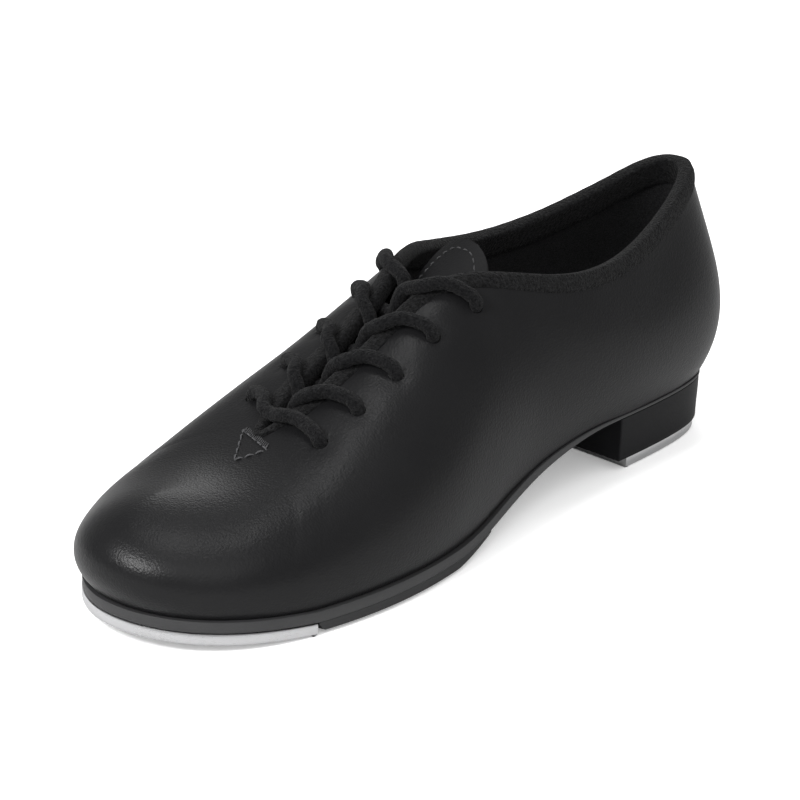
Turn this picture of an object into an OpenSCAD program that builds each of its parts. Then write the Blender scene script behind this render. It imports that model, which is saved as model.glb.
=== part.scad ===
// Lace-up tap shoe, right foot.
// The toe points to -Y, the inner (medial) side of the foot is +X, up is +Z.
// The origin is on the floor, at the centre of the contact face of the heel tap.
// All lengths are in millimetres.

/* [Size of the shoe] */
// Length of the sole from the back of the heel to the tip of the toe
sole_length = 245; // [226:1:264]
// Width of the upper across the ball of the foot
ball_width = 90; // [84:1:96]
// Floor to the top of the heel block at the back
heel_height = 19; // [17:0.5:23]
// Height of the collar above the sole at the heel
collar_height = 68; // [63:1:73]

/* [Bottom unit] */
// Thickness of the long outsole under the forefoot
outsole_t = 3.6; // [3:0.1:4.6]
// Thickness of the rubber pad behind the toe tap
pad_t = 3.3; // [2.4:0.1:3.4]
// Thickness of the toe tap and the heel tap
tap_t = 3.8; // [3.6:0.1:4.2]
// Diameter of the tap screws
screw_d = 3.2; // [2.8:0.1:3.6]

/* [Upper and lacing] */
// Thickness of the upper leather
leather_t = 1.4; // [1:0.1:1.5]
// Thickness of the lining
lining_t = 0.8; // [0.6:0.1:0.9]
// Diameter of the round lace
lace_d = 4.2; // [3.2:0.1:4.4]
// How far the topline binding reaches down from the edge
binding_w = 5; // [4:0.5:6]

/* [Hidden] */
$fn = 48;

kx = ball_width / 90;
ky = sole_length / 245;
kz = collar_height / 68;
gap = 0.1;                       // clearance between glued or stacked layers
heel_centre = 33 * ky;           // distance from the heel back to the origin
tap_seat = tap_t + gap;          // height of the underside of the bottom unit over the taps
ball_z = tap_seat + outsole_t;   // height of the sole line at the ball
seat_t = 1.2;                    // thickness of the outsole over the heel block
seat_z = heel_height + seat_t;   // height of the sole line under the heel
toe_slope = 0.075;               // toe spring, rise per millimetre
toe_start = 208 * ky;            // where the toe spring starts, from the heel back
breast_d = 60 * ky;              // heel breast, distance from the heel back
shank_start = 66 * ky;           // where the sole starts to fall from the heel seat
shank_end = 152 * ky;            // where it reaches the ball
thick_from = 55 * ky;            // where the outsole starts to grow thicker
thick_run = 60 * ky;             // length over which it does

// Height of the sole line (top of the outsole) at distance d from the heel back
function sole_z(d) =
    let (s = max(0, min(1, (d - shank_start) / (shank_end - shank_start))))
    d > toe_start ? ball_z + toe_slope * (d - toe_start)
                  : seat_z - (seat_z - ball_z) * (3 * s * s - 2 * s * s * s);
function outsole_at(d) = seat_t + (outsole_t - seat_t) * smooth((d - thick_from) / thick_run);
function y_of(d) = heel_centre - d;
function d_of(y) = heel_centre - y;

// Shape of the last, one row per station from the heel centre to the toe centre:
// [feather line: distance, medial x, lateral x,
//  top end: distance, medial x, lateral x, height above the sole line,
//  handles of the section curve: out and up at the feather line, out and up at the top]
last = [
    [3.8,    0,     0,   4,     0,     0,  67.8, 15,   24,   5.5, -23.5],
    [7.3,   18,   -17,   7.5,  10,  -9.5,  68.3, 14,   24,   6,   -23.5],
    [32,    24, -23.5,  36,  18.5,   -21,  54.8, 13.5, 24,   6,   -20],
    [69,  26.5, -28.5,  76,    26,   -32,  46.7, 10.5, 22.7, 5.5, -16],
    [104,   26, -36.5, 110,    17,   -22,  65.5,  9,   22.9, 9,    -8.5],
    [138,   38,   -42, 129,   5.5,  -5.5,  68.8,  9.5, 25.5, 16.5,  0],
    [169,   45,   -44, 151.5, 4.8,  -4.8,  54.7,  8,   26,   20.5,  1],
    [200, 44.5, -41.5, 177.5, 4.2,  -4.2,  42.5,  7,   23.5, 22,    0],
    [229, 37.5,   -33, 201.5,   0,     0,  31,    9,   21,   22,    0],
    [246, 21.5, -14.5, 221.5,   0,     0,  28.4, 14,   16,   18,    0],
    [250.5, 1.5,    5, 230,     0,     0,  28,   14,   15,   17.5,  0]
];
half_turn = len(last) - 1;       // station number of the toe centre
turn = 2 * half_turn;            // stations once round the shoe
ribs = 100;                      // sections once round the shoe
step = turn / ribs;
slit_end = 7.6;                  // station where the two facings meet
slit_round = 0.8;                // stations over which the throat end is rounded
levels = 8;                      // points along a section

function station(k) =
    let (j = (k + 2 * turn) % turn, m = j <= half_turn, r = last[m ? j : turn - j])
    [(m ? r[1] : r[2]) * kx, r[0] * ky, (m ? r[4] : r[5]) * kx, r[3] * ky,
     r[6] * kz, r[7], r[8] * kz, r[9], r[10] * kz];
function rib(u) =
    let (i = floor(u), f = u - i)
    (pow(1 - f, 3) * station(i - 1) + (3 * f * f * f - 6 * f * f + 4) * station(i)
     + (1 + 3 * f + 3 * f * f - 3 * f * f * f) * station(i + 1) + f * f * f * station(i + 2)) / 6;
function fold(u) = let (w = (u + 2 * turn) % turn) min(w, turn - w);
function unit(v) = v / norm(v);
function smooth(t) = let (c = max(0, min(1, t))) c * c * (3 - 2 * c);
function outward(u) =
    let (a = rib(u - 0.02), b = rib(u + 0.02), t = unit([b[0] - a[0], a[1] - b[1]]))
    [-t[1], t[0], 0];

// How much the upper end of a section turns round with the outline:
// fully at the heel and the toe tip, not at all over the instep
function steer(f) = f < 5.2 ? 1 - smooth((f - 4) / 1.2) : smooth((f - 8.2) / 1.8);
function slit(f) =
    f <= slit_end - slit_round ? 1
    : f >= slit_end - 0.001 ? 0 : sqrt(1 - pow((f - slit_end + slit_round) / slit_round, 2));
function feather(u) = let (r = rib(u)) [r[0], y_of(r[1]), sole_z(r[1])];
function top_edge(u) =
    let (r = rib(u)) [r[2] * slit(fold(u)), y_of(r[3]), sole_z(r[3]) + r[4]];
function section(u) =
    let (r = rib(u), n = outward(u), k = steer(fold(u)), m = unit([n[0], n[1] * k, 0]),
         a = feather(u), b = top_edge(u))
    [a, a + n * r[5] + [0, 0, r[6]], b + m * r[7] + [0, 0, r[8]], b];
function bez(c, v) =
    pow(1 - v, 3) * c[0] + 3 * (1 - v) * (1 - v) * v * c[1] + 3 * (1 - v) * v * v * c[2]
    + v * v * v * c[3];
function bez_d(c, v) =
    (1 - v) * (1 - v) * (c[1] - c[0]) + 2 * (1 - v) * v * (c[2] - c[1]) + v * v * (c[3] - c[2]);
function ridge_normal(f) =
    let (g = min(f, half_turn - 0.6), a = top_edge(g - 0.3), b = top_edge(g + 0.3))
    unit([0, b[2] - a[2], a[1] - b[1]]);

// Point at station u, level v (0 at the feather line, 1 at the edge), h above the leather
function skin(u, v, h) =
    let (c = section(u), f = fold(u),
         n = (f > slit_end - 0.001 && v > 0.999) ? ridge_normal(f)
             : unit(cross(bez_d(c, v), bez(section(u + 0.06), v) - bez(section(u - 0.06), v))))
    bez(c, v) + h * n;
function normal_at(u, v) = skin(u, v, 1) - skin(u, v, 0);
// Point over the open throat: x from the centre line, h above the edges
function throat(u, x, h) =
    (top_edge(u) + top_edge(turn - u)) / 2 + [x, 0, 0] + h * ridge_normal(u);

base_skin = [for (i = [0:ribs - 1]) [for (k = [0:levels - 1]) skin(i * step, k / (levels - 1), 0)]];
base_norm = [for (i = [0:ribs - 1])
    [for (k = [0:levels - 1]) normal_at(i * step, k / (levels - 1))]];
base_out = [for (i = [0:ribs - 1]) outward(i * step)];
function rib_no(i) = (i + 2 * ribs) % ribs;
// Grid point of a layer t below the outer face of the leather
function layer(i, k, t) = base_skin[rib_no(i)][k] - t * base_norm[rib_no(i)][k];
// Point inset from the feather line, h above the sole line
function inset(i, a, h) =
    let (p = base_skin[rib_no(i)][0] - a * base_out[rib_no(i)]) [p[0], p[1], sole_z(d_of(p[1])) + h];
function is_closed(i) = fold(rib_no(i) * step) > slit_end - 0.001;
// Point of a layer t deep as built, between the grid points round station u, level v
function faceted(u, v, t) =
    let (i = floor(u / step), f = u / step - i,
         k = min(levels - 2, floor(v * (levels - 1))), g = v * (levels - 1) - k)
    (1 - f) * ((1 - g) * layer(i, k, t) + g * layer(i, k + 1, t))
    + f * ((1 - g) * layer(i + 1, k, t) + g * layer(i + 1, k + 1, t));

function tri(a, b, c) = (a == b || b == c || a == c) ? [] : [[a, c, b]];
function quad(a, b, c, d) = concat(tri(a, b, c), tri(a, c, d));

// Closed band round the shoe; rings are equally long closed sections, and the segment
// after point "top" is left out where the facings have met
module band(rings, top) {
    m = len(rings[0]);
    n = len(rings);
    function id(i, j) =
        let (w = i % n) ((j == top || j == top + 1) && is_closed(w) ? min(w, n - w) : w) * m + j % m;
    polyhedron(
        [for (r = rings) each r],
        [for (i = [0:n - 1], j = [0:m - 1])
            if (!(j == top && is_closed(i) && is_closed(i + 1)))
                each quad(id(i, j), id(i, j + 1), id(i + 1, j + 1), id(i + 1, j))]);
}

// Patch of one hidden layer between ribs i0..i1 and levels k0..k1, from depth t0 to t1
module patch(i0, i1, k0, k1, t0, t1) {
    nk = k1 - k0 + 1;
    ni = i1 - i0 + 1;
    over_ridge = k1 == levels - 1;
    function fold_i(i, k) = over_ridge && k == k1 && is_closed(i) ? min(i, ribs - i) : i;
    function id(s, i, k) = s * ni * nk + (fold_i(i, k) - i0) * nk + k - k0;
    polyhedron(
        [for (s = [0, 1], i = [i0:i1], k = [k0:k1]) layer(i, k, s == 0 ? t0 : t1)],
        concat(
            [for (i = [i0:i1 - 1], k = [k0:k1 - 1])
                each quad(id(0, i, k), id(0, i, k + 1), id(0, i + 1, k + 1), id(0, i + 1, k))],
            [for (i = [i0:i1 - 1], k = [k0:k1 - 1])
                each quad(id(1, i, k), id(1, i + 1, k), id(1, i + 1, k + 1), id(1, i, k + 1))],
            [for (i = [i0:i1 - 1])
                each quad(id(0, i, k0), id(0, i + 1, k0), id(1, i + 1, k0), id(1, i, k0))],
            [for (i = [i0:i1 - 1]) if (!over_ridge)
                each quad(id(0, i, k1), id(1, i, k1), id(1, i + 1, k1), id(0, i + 1, k1))],
            [for (k = [k0:k1 - 1])
                each quad(id(0, i0, k), id(1, i0, k), id(1, i0, k + 1), id(0, i0, k + 1))],
            [for (k = [k0:k1 - 1])
                each quad(id(0, i1, k), id(0, i1, k + 1), id(1, i1, k + 1), id(1, i1, k))]));
}

// Layer of the bottom, given by rows of [medial point, lateral point] pairs from the heel
// to the toe, one list for its lower face and one for its upper face
module slab(low, high) {
    n = len(low);
    pts = concat([for (p = low) each p], [for (p = high) each p]);
    function same(k) = norm(low[k][0] - low[k][1]) < 0.001;
    function id(s, k, e) = s * 2 * n + 2 * k + (same(k) ? 0 : e);
    polyhedron(pts, concat(
        [for (k = [0:n - 2]) each quad(id(0, k, 0), id(0, k + 1, 0), id(0, k + 1, 1), id(0, k, 1))],
        [for (k = [0:n - 2]) each quad(id(1, k, 0), id(1, k, 1), id(1, k + 1, 1), id(1, k + 1, 0))],
        [for (k = [0:n - 2]) each quad(id(0, k, 0), id(1, k, 0), id(1, k + 1, 0), id(0, k + 1, 0))],
        [for (k = [0:n - 2]) each quad(id(0, k, 1), id(0, k + 1, 1), id(1, k + 1, 1), id(1, k, 1))],
        same(0) ? [] : quad(id(0, 0, 0), id(0, 0, 1), id(1, 0, 1), id(1, 0, 0)),
        same(n - 1) ? []
            : quad(id(0, n - 1, 0), id(1, n - 1, 0), id(1, n - 1, 1), id(0, n - 1, 1))));
}
function pairs(i0, i1, a, h) = [for (i = [i0:i1]) [inset(i, a, h), inset(ribs - i, a, h)]];

// Tube along a path of points, closed by flat ends
module tube(path, r, sides) {
    n = len(path);
    function along(k) = unit(path[min(n - 1, k + 1)] - path[max(0, k - 1)]);
    function carry(k, v) = let (t = along(k)) unit(v - (v * t) * t);
    frames = [for (k = 0, v = carry(0, [0.3, 0.2, 1]); k < n; k = k + 1, v = carry(min(k, n - 1), v)) v];
    function stretch(k) = k == 0 || k == n - 1 ? 1
        : 1 / max(0.6, sqrt((1 + unit(path[k] - path[k - 1]) * unit(path[k + 1] - path[k])) / 2));
    pts = [for (k = [0:n - 1], s = [0:sides - 1])
        let (a = 360 * s / sides, v = frames[k], w = cross(along(k), v),
             bend = k == 0 || k == n - 1 ? [0, 0, 0]
                 : unit(path[k + 1] - path[k]) - unit(path[k] - path[k - 1]),
             e = norm(bend) < 0.01 ? [0, 0, 0] : unit(bend),
             q = r * (cos(a) * v + sin(a) * w))
        path[k] + q + (stretch(k) - 1) * (q * e) * e];
    polyhedron(pts, concat(
        [for (k = [0:n - 2], s = [0:sides - 1])
            let (t = (s + 1) % sides)
            each quad(k * sides + s, k * sides + t, (k + 1) * sides + t, (k + 1) * sides + s)],
        [for (s = [1:sides - 2]) [0, s, s + 1]],
        [for (s = [1:sides - 2]) [(n - 1) * sides, (n - 1) * sides + s + 1, (n - 1) * sides + s]]));
}

// Stand children up along the direction d at the point p
module along_line(p, d) {
    e = unit(d);
    translate(p)
        rotate([0, acos(e[2]), atan2(e[1], e[0])])
            children();
}

// ---- lacing positions ----
// Eyelet pairs from the ankle to the toe: [medial station, lateral station from the other side]
eyes = [[4.6, 4.5], [5.35, 5.2], [6.0, 5.85], [6.6, 6.43], [7.15, 7.0]];
eye_d = 6;
// Their levels on the inner side; the outer facing is narrower, so its eyelets sit higher
inner_levels = [0.78, 0.76, 0.76, 0.76, 0.75];
outer_level = 0.815;
function eye_level(j, s) = s > 0 ? inner_levels[j] : outer_level;
function eye_u(j, s) = s > 0 ? eyes[j][0] : turn - eyes[j][1];
function side_u(f, s) = s > 0 ? f : turn - f;
function eye_normal(j, s) = normal_at(eye_u(j, s), eye_level(j, s));
function eye(j, s, h) = faceted(eye_u(j, s), eye_level(j, s), 0) + h * eye_normal(j, s);
// Point h over the facing on side s
function facing(f, s, v, h) = faceted(side_u(f, s), v, -h);

module eyelet_holes() {
    for (j = [0:4], s = [1, -1])
        hull()
            along_line(eye(j, s, 0), eye_normal(j, s))
                cylinder(h = 12, d = eye_d, center = true, $fn = 16);
}

// ---- upper part ----
flange_w = 12;                   // width of the lasting margin turned under the foot
lining_top = leather_t + 1.3;    // depth of the outer face of the lining
wall_t = lining_top + lining_t;  // depth of the inner face of the lining

module upper() {
    color([0.05, 0.05, 0.055])
        difference() {
            band([for (i = [0:ribs - 1]) concat(
                [inset(i, flange_w, 0)],
                [for (k = [0:levels - 1]) layer(i, k, 0)],
                [for (k = [levels - 1:-1:1]) layer(i, k, leather_t)],
                [inset(i, leather_t + 0.2, leather_t), inset(i, flange_w, leather_t)])],
                levels);
            eyelet_holes();
        }
}

module lining() {
    low = leather_t + gap;
    color([0.09, 0.09, 0.1])
        difference() {
            band([for (i = [0:ribs - 1]) concat(
                [inset(i, flange_w - 1, low), inset(i, lining_top + 0.2, low)],
                [for (k = [1:levels - 1]) layer(i, k, lining_top)],
                [for (k = [levels - 1:-1:1]) layer(i, k, wall_t)],
                [inset(i, wall_t + 0.2, low + lining_t), inset(i, flange_w - 1, low + lining_t)])],
                levels);
            eyelet_holes();
        }
}

// U-shaped strip over the edge of the leather and the lining
binding_free = 0.3;              // clearance round the edge
binding_t = 0.8;
binding_end = 3.4;               // reach beyond the end of the throat
module topline_binding() {
    free = binding_free;
    over = free + binding_t;
    reach = 0.075 * binding_w / 5;
    rounded = 0.5;
    last_open = floor(slit_end / step - 0.001);
    function ring(e, w, n, q, m) = [
        q + over * m,
        e + (over - 0.1) * n - rounded * w,
        e + free * n - over * w,
        e - (wall_t + free) * n - over * w,
        e - (wall_t + over - 0.1) * n - rounded * w,
        q - (wall_t + over) * m,
        q - (wall_t + free) * m,
        e - (wall_t + free) * n - free * w,
        e + free * n - free * w,
        q + free * m];
    function edge_ring(u) =
        ring(top_edge(u), -unit(bez_d(section(u), 1)), normal_at(u, 1),
             faceted(u, 1 - reach, 0), normal_at(u, 1 - reach));
    base = top_edge(slit_end);
    ahead = unit(top_edge(slit_end + 0.4) - base);
    rings = concat(
        [for (i = [-last_open:last_open]) edge_ring(rib_no(i) * step)],
        [ring(base, ahead, ridge_normal(slit_end), base + binding_end * ahead,
              ridge_normal(slit_end))]);
    n = len(rings);
    m = len(rings[0]);
    color([0.07, 0.07, 0.075])
        polyhedron([for (r = rings) each r],
            [for (i = [0:n - 1], j = [0:m - 1])
                let (k = (i + 1) % n, l = (j + 1) % m)
                each quad(i * m + j, i * m + l, k * m + l, k * m + j)]);
}

// ---- tongue ----
binding_depth = wall_t + binding_free + binding_t;
tongue_depth = binding_depth + lace_d + 0.7;   // room for the lace under the facings
tongue_t = 1.5;
tongue_back_t = 1.8;
tongue_levels = [0.75, 0.82, 0.91, 1];
tongue_ribs = [37, 35, 33, 31, 29, 27, 25, 23];
// The free end: [distance, height above the sole line, half width]
tongue_tip = [[114, 60, 14.5], [109, 63.5, 13], [105.5, 66.5, 10], [103.5, 68, 5]];
tongue_drop = 0.03;              // fall of the free end towards its sides
tip_normal = unit([0, -0.64, 0.77]);

function tongue_row(i, t) = concat(
    [for (k = [0:3]) skin(i * step, tongue_levels[k], -t)],
    [throat(i * step, 0, -t)],
    [for (k = [3:-1:0]) skin((ribs - i) * step, tongue_levels[k], -t)]);
function tip_row(r, t) =
    [for (k = [0:8])
        let (x = r[2] * kx * (1 - k / 4), d = r[0] * ky)
        [x, y_of(d), sole_z(d) + r[1] * kz - tongue_drop * x * x] - (t - tongue_depth) * tip_normal];
function tongue_grid(t) = concat([for (i = tongue_ribs) tongue_row(i, t)],
                                 [for (r = tongue_tip) tip_row(r, t)]);

module sheet(high, low) {
    n = len(high);
    m = len(high[0]);
    function id(s, i, j) = (s * n + i) * m + j;
    polyhedron(
        concat([for (r = high) each r], [for (r = low) each r]),
        concat(
            [for (i = [0:n - 2], j = [0:m - 2])
                each quad(id(0, i, j), id(0, i + 1, j), id(0, i + 1, j + 1), id(0, i, j + 1))],
            [for (i = [0:n - 2], j = [0:m - 2])
                each quad(id(1, i, j), id(1, i, j + 1), id(1, i + 1, j + 1), id(1, i + 1, j))],
            [for (i = [0:n - 2]) each quad(id(0, i, 0), id(1, i, 0), id(1, i + 1, 0), id(0, i + 1, 0))],
            [for (i = [0:n - 2])
                each quad(id(0, i, m - 1), id(0, i + 1, m - 1), id(1, i + 1, m - 1), id(1, i, m - 1))],
            [for (j = [0:m - 2]) each quad(id(0, 0, j), id(0, 0, j + 1), id(1, 0, j + 1), id(1, 0, j))],
            [for (j = [0:m - 2])
                each quad(id(0, n - 1, j), id(1, n - 1, j), id(1, n - 1, j + 1), id(0, n - 1, j + 1))]));
}

module tongue() {
    color([0.16, 0.16, 0.17])
        sheet(tongue_grid(tongue_depth), tongue_grid(tongue_depth + tongue_t));
}

module tongue_lining() {
    low = tongue_depth + tongue_t + gap;
    color([0.09, 0.09, 0.1])
        sheet(tongue_grid(low), tongue_grid(low + tongue_back_t));
}

module tongue_stitching() {
    g = tongue_grid(tongue_depth - 0.6);
    last_row = len(g) - 2;
    first_row = last_row - 3;
    color([0.35, 0.35, 0.36])
        tube(concat(
            [for (i = [first_row:last_row]) g[i][1]],
            [for (k = [2:6]) g[last_row][k]],
            [for (i = [last_row:-1:first_row]) g[i][7]]), 0.4, 6);
}

// ---- lace, eyelets ----
lace_r = lace_d / 2;
bar_h = binding_free + binding_t + lace_r + 0.9;   // lace centre over the binding
lie_h = lace_r + 0.6;                              // lace centre over the leather
under_h = -(binding_depth + lace_r + 0.2);         // lace centre under the facings
// From eyelet j on side s, down and under the facing, up through the throat and over the
// other facing to the next eyelet nearer the ankle. The strands that end on the medial side
// lie on top of the others. Rows of rise: share of the way, distance from the centre line
// towards side s, height over the edges.
function crossing(j, s) =
    let (a = eyes[j][s > 0 ? 0 : 1], b = eyes[j - 1][s > 0 ? 1 : 0],
         rise = s < 0
             ? [[0, 2, under_h], [0.13, 0.3, -4.2], [0.3, 0, -0.4], [0.58, -1.6, 3]]
             : [[0.36, 2, under_h], [0.52, 0.8, under_h + 0.4], [0.68, -0.5, -3.4], [0.82, -1.3, 3.1]],
         start = rise[0][0] * 0.6, end = s < 0 ? 0.84 : 0.95)
    concat(
        [eye(j, s, 1.2), eye(j, s, under_h),
         facing(a + (b - a) * start, s, 0.88, under_h)],
        [for (r = rise) throat(a + (b - a) * r[0], r[1] * s, r[2])],
        [facing(a + (b - a) * end, -s, 0.97, bar_h + 0.4),
         facing(b, -s, eye_level(j - 1, -s) + 0.11, lie_h + 1.2),
         facing(b, -s, eye_level(j - 1, -s) + 0.055, lie_h)]);
// From the top eyelet down inside, where the end is tucked in beside the tongue:
// [station, level, depth] rows
tuck = [[4.45, 0.69, 7], [4.2, 0.55, 8], [3.9, 0.4, 8.5]];
function tail(s) = concat(
    [eye(0, s, 1.2), eye(0, s, under_h)],
    [for (t = tuck) facing(t[0], s, t[1], -t[2])]);
function half_lace(s) =
    let (f = eyes[4][s > 0 ? 0 : 1])
    concat([facing(f, s, 0.96, bar_h), facing(f, s, eye_level(4, s) + 0.055, lie_h + 0.5)],
           crossing(4, s), crossing(3, -s), crossing(2, s), crossing(1, -s), tail(s));
function backwards(p) = [for (i = [len(p) - 1:-1:0]) p[i]];
function lace_path() = concat(backwards(half_lace(1)), [throat(7.08, 0, bar_h + 0.5)], half_lace(-1));

module lace() {
    color([0.03, 0.03, 0.03])
        tube(lace_path(), lace_r, 8);
}

module aglets() {
    color([0.02, 0.02, 0.02])
        for (s = [1, -1]) {
            p = half_lace(s);
            n = len(p);
            d = unit(p[n - 1] - p[n - 2]);
            along_line(p[n - 1] + 0.2 * d, d)
                cylinder(h = 14, d = lace_d - 1.2, $fn = 24);
        }
}

module eyelets() {
    flange_r = eye_d / 2 + 0.8;
    flange_t = 0.4;
    flange_gap = 0.6;            // clearance to the lining
    barrel_t = 0.3;
    barrel_r = eye_d / 2 - 0.2;
    barrel_h = lining_t + 0.6;
    color([0.12, 0.12, 0.12])
        for (j = [0:4], s = [1, -1])
            along_line(eye(j, s, -wall_t), eye_normal(j, s))
                rotate_extrude($fn = 32)
                    polygon([
                        [barrel_r - barrel_t, -flange_gap - flange_t],
                        [flange_r, -flange_gap - flange_t],
                        [flange_r, -flange_gap],
                        [barrel_r, -flange_gap],
                        [barrel_r, barrel_h],
                        [barrel_r - barrel_t, barrel_h]]);
}

// Triangle of thread that locks the end of the throat
module throat_stitch() {
    r = 0.4;
    lift = 0.6;
    ends = [skin(7.78, 0.87, lift), skin(turn - 7.78, 0.87, lift), throat(8.3, 0, lift)];
    color([0.42, 0.42, 0.43])
        for (k = [0:2]) {
            a = ends[k];
            b = ends[(k + 1) % 3];
            along_line(a, b - a)
                cylinder(h = norm(b - a), r = r, $fn = 12);
            translate(a)
                sphere(r = r + 0.05, $fn = 12);
        }
}

// ---- stiffeners and foot bed ----
stiff_out = leather_t + 0.3;
stiff_in = lining_top - 0.2;
counter_rib = 15;
puff_rib = 42;

module toe_puff() {
    color([0.55, 0.5, 0.42])
        patch(puff_rib, ribs - puff_rib, 1, levels - 1, stiff_out, stiff_in);
}

module heel_counter() {
    color([0.6, 0.52, 0.4])
        patch(-counter_rib, counter_rib, 1, 5, stiff_out, stiff_in);
}

bed_z = leather_t + lining_t + 3 * gap; // underside of the insole board above the sole line
board_t = 2;
sock_t = 1.4;
bed_inset = 5.2;
nails = [[0, 25], [-9, 34], [9, 34], [-9, 46], [9, 46]];
nail_d = 2;
nail_from = heel_height - 10;    // height of the nail points

module nail_holes(d, z0, z1) {
    for (p = nails)
        translate([p[0] * kx, y_of(p[1] * ky), z0])
            cylinder(h = z1 - z0, d = d, $fn = 24);
}

module insole_board() {
    color([0.62, 0.5, 0.36])
        difference() {
            slab(pairs(0, ribs / 2, bed_inset, bed_z),
                 pairs(0, ribs / 2, bed_inset, bed_z + board_t));
            nail_holes(nail_d + 0.4, seat_z, seat_z + bed_z + board_t + 1);
        }
}

module sock_liner() {
    low = bed_z + board_t + gap;
    color([0.12, 0.12, 0.13])
        slab(pairs(0, ribs / 2, bed_inset, low), pairs(0, ribs / 2, bed_inset, low + sock_t));
}

module heel_pad() {
    low = bed_z + board_t + sock_t + 2 * gap;
    color([0.16, 0.16, 0.18])
        slab(pairs(1, 12, bed_inset + 3, low), pairs(1, 12, bed_inset + 3, low + 1.6));
}

shank_w = 13;
shank_t = 1.6;
shank_from = 50;
shank_to = 128;

module shank() {
    stops = [for (d = [shank_from:6:shank_to]) d * ky];
    color([0.6, 0.6, 0.62])
        slab([for (d = stops) [[shank_w / 2, y_of(d), sole_z(d) + 0.25],
                               [-shank_w / 2, y_of(d), sole_z(d) + 0.25]]],
             [for (d = stops) [[shank_w / 2, y_of(d), sole_z(d) + 0.25 + shank_t],
                               [-shank_w / 2, y_of(d), sole_z(d) + 0.25 + shank_t]]]);
}

module bottom_filler() {
    color([0.55, 0.38, 0.22])
        slab(pairs(24, 45, flange_w + 0.6, gap), pairs(24, 45, flange_w + 0.6, bed_z - gap));
}

// ---- bottom unit ----
function welt(i) = 0.4 + 1.1 * smooth((d_of(base_skin[rib_no(i)][0][1]) - 60) / 90);
function sole_pairs(i0, i1, grow, h) =
    [for (i = [i0:i1]) [inset(i, -welt(i) - grow, h), inset(ribs - i, -welt(ribs - i) - grow, h)]];
// The same pairs moved to the underside of the outsole, and free below it
function under_sole(rows, free) =
    [for (q = rows) [for (p = q) let (d = d_of(p[1])) [p[0], p[1], sole_z(d) - outsole_at(d) - free]]];

module outsole() {
    color([0.06, 0.06, 0.06])
        difference() {
            slab(under_sole(sole_pairs(0, ribs / 2, 0, 0), 0), sole_pairs(0, ribs / 2, 0, -gap));
            toe_screw_places() screw_cut(0.15, toe_screw_l + 0.2);
            nail_holes(nail_d + 0.4, heel_height - 1, seat_z + 1);
        }
}

pad_first = 24;
pad_last = 36;
pad_run_in = 25;                 // length over which the pad thins out towards the waist
pad_inset = 0.3;                 // pad narrower than the outsole
pad_nose = 2;                    // bevel at the front edge
pad_lip = 0.4;

module forefoot_pad() {
    high = under_sole(sole_pairs(pad_first, pad_last, -pad_inset, 0), gap);
    first_d = d_of(high[0][0][1]);
    function depth(p) = pad_t * min(1, 0.25 + (d_of(p[1]) - first_d) / pad_run_in);
    function under(p) = p - [0, 0, depth(p)];
    function ahead(q, y, z) = [q[0] + [0, -y, z], q[1] + [0, -y, z]];
    front = high[len(high) - 1];
    color([0.08, 0.08, 0.08])
        slab(concat([for (q = high) [under(q[0]), under(q[1])]], [ahead(front, pad_lip, -gap)]),
             concat(high, [ahead(front, pad_nose, 0)]));
}

// ---- taps ----
tap_gap = 0.2;                   // toe tap narrower than the sole it sits under
tap_inset = 0.9;                 // heel tap narrower than the foot of the block
tap_front = 5;                   // setback of the heel tap from the breast
tap_start = toe_start + 0.5;
toe_angle = atan(toe_slope);
tap_first = 37;
// Frame of the toe tap: origin at the start of the toe spring, on the underside of the sole
module toe_frame() {
    translate([0, y_of(toe_start), tap_seat])
        rotate([-toe_angle, 0, 0])
            children();
}
function tap_point(i, grow) =
    let (p = inset(i, -welt(i) - grow, 0)) [p[0], -(d_of(p[1]) - toe_start) / cos(toe_angle)];
function tap_rear(s) =
    let (a = tap_point(s > 0 ? tap_first : ribs - tap_first, -tap_gap),
         b = tap_point(s > 0 ? tap_first - 1 : ribs - tap_first + 1, -tap_gap),
         y = toe_start - tap_start)
    [a[0] + (b[0] - a[0]) * (y - a[1]) / (b[1] - a[1]), y];
toe_screws = [[-26, -8], [28, -8], [-12, -30], [15, -32]];
head_d = screw_d * 2;
head_h = 1.8;
sunk = 0.05;                     // screw heads lie this far inside the tap face
toe_screw_l = tap_t + outsole_t - 0.3;
heel_screw_l = 13;

module tap_outline() {
    polygon(concat([tap_rear(1)],
                   [for (i = [tap_first:ribs - tap_first]) tap_point(i, -tap_gap)],
                   [tap_rear(-1)]));
}

// Countersunk screw, head down at z = 0, pointing up
module screw(length) {
    rotate_extrude()
        polygon([[0, 0.9], [0.7, 0.9], [0.7, sunk], [head_d / 2, sunk], [screw_d / 2, head_h],
                 [screw_d / 2, length - 1.5], [0.3, length], [0, length]]);
}
// Countersunk hole for a screw with clearance c all round
module screw_cut(c, length) {
    rotate_extrude()
        polygon([[0, -1], [head_d / 2 + c, -1], [head_d / 2 + c, sunk],
                 [screw_d / 2 + c, head_h + c], [screw_d / 2 + c, length], [0, length]]);
}
module toe_screw_places() {
    toe_frame()
        for (p = toe_screws)
            translate([p[0] * kx, p[1] * ky, -tap_t - gap])
                children();
}

module toe_tap() {
    color([0.78, 0.78, 0.78])
        difference() {
            toe_frame()
                translate([0, 0, -tap_t - gap])
                    linear_extrude(tap_t)
                        tap_outline();
            toe_screw_places() screw_cut(0.15, toe_screw_l + 0.2);
        }
}

module toe_tap_screws() {
    color([0.7, 0.68, 0.62])
        toe_screw_places() screw(toe_screw_l);
}

heel_ribs = 13;                  // ribs round each side of the heel seat
heel_inset = 0.2;                // inset of the block from the outsole, at the top
heel_taper = 1;                  // and at the bottom
heel_screws = [[0, 15], [-17, 34], [17, 34], [0, 50]];

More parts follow.
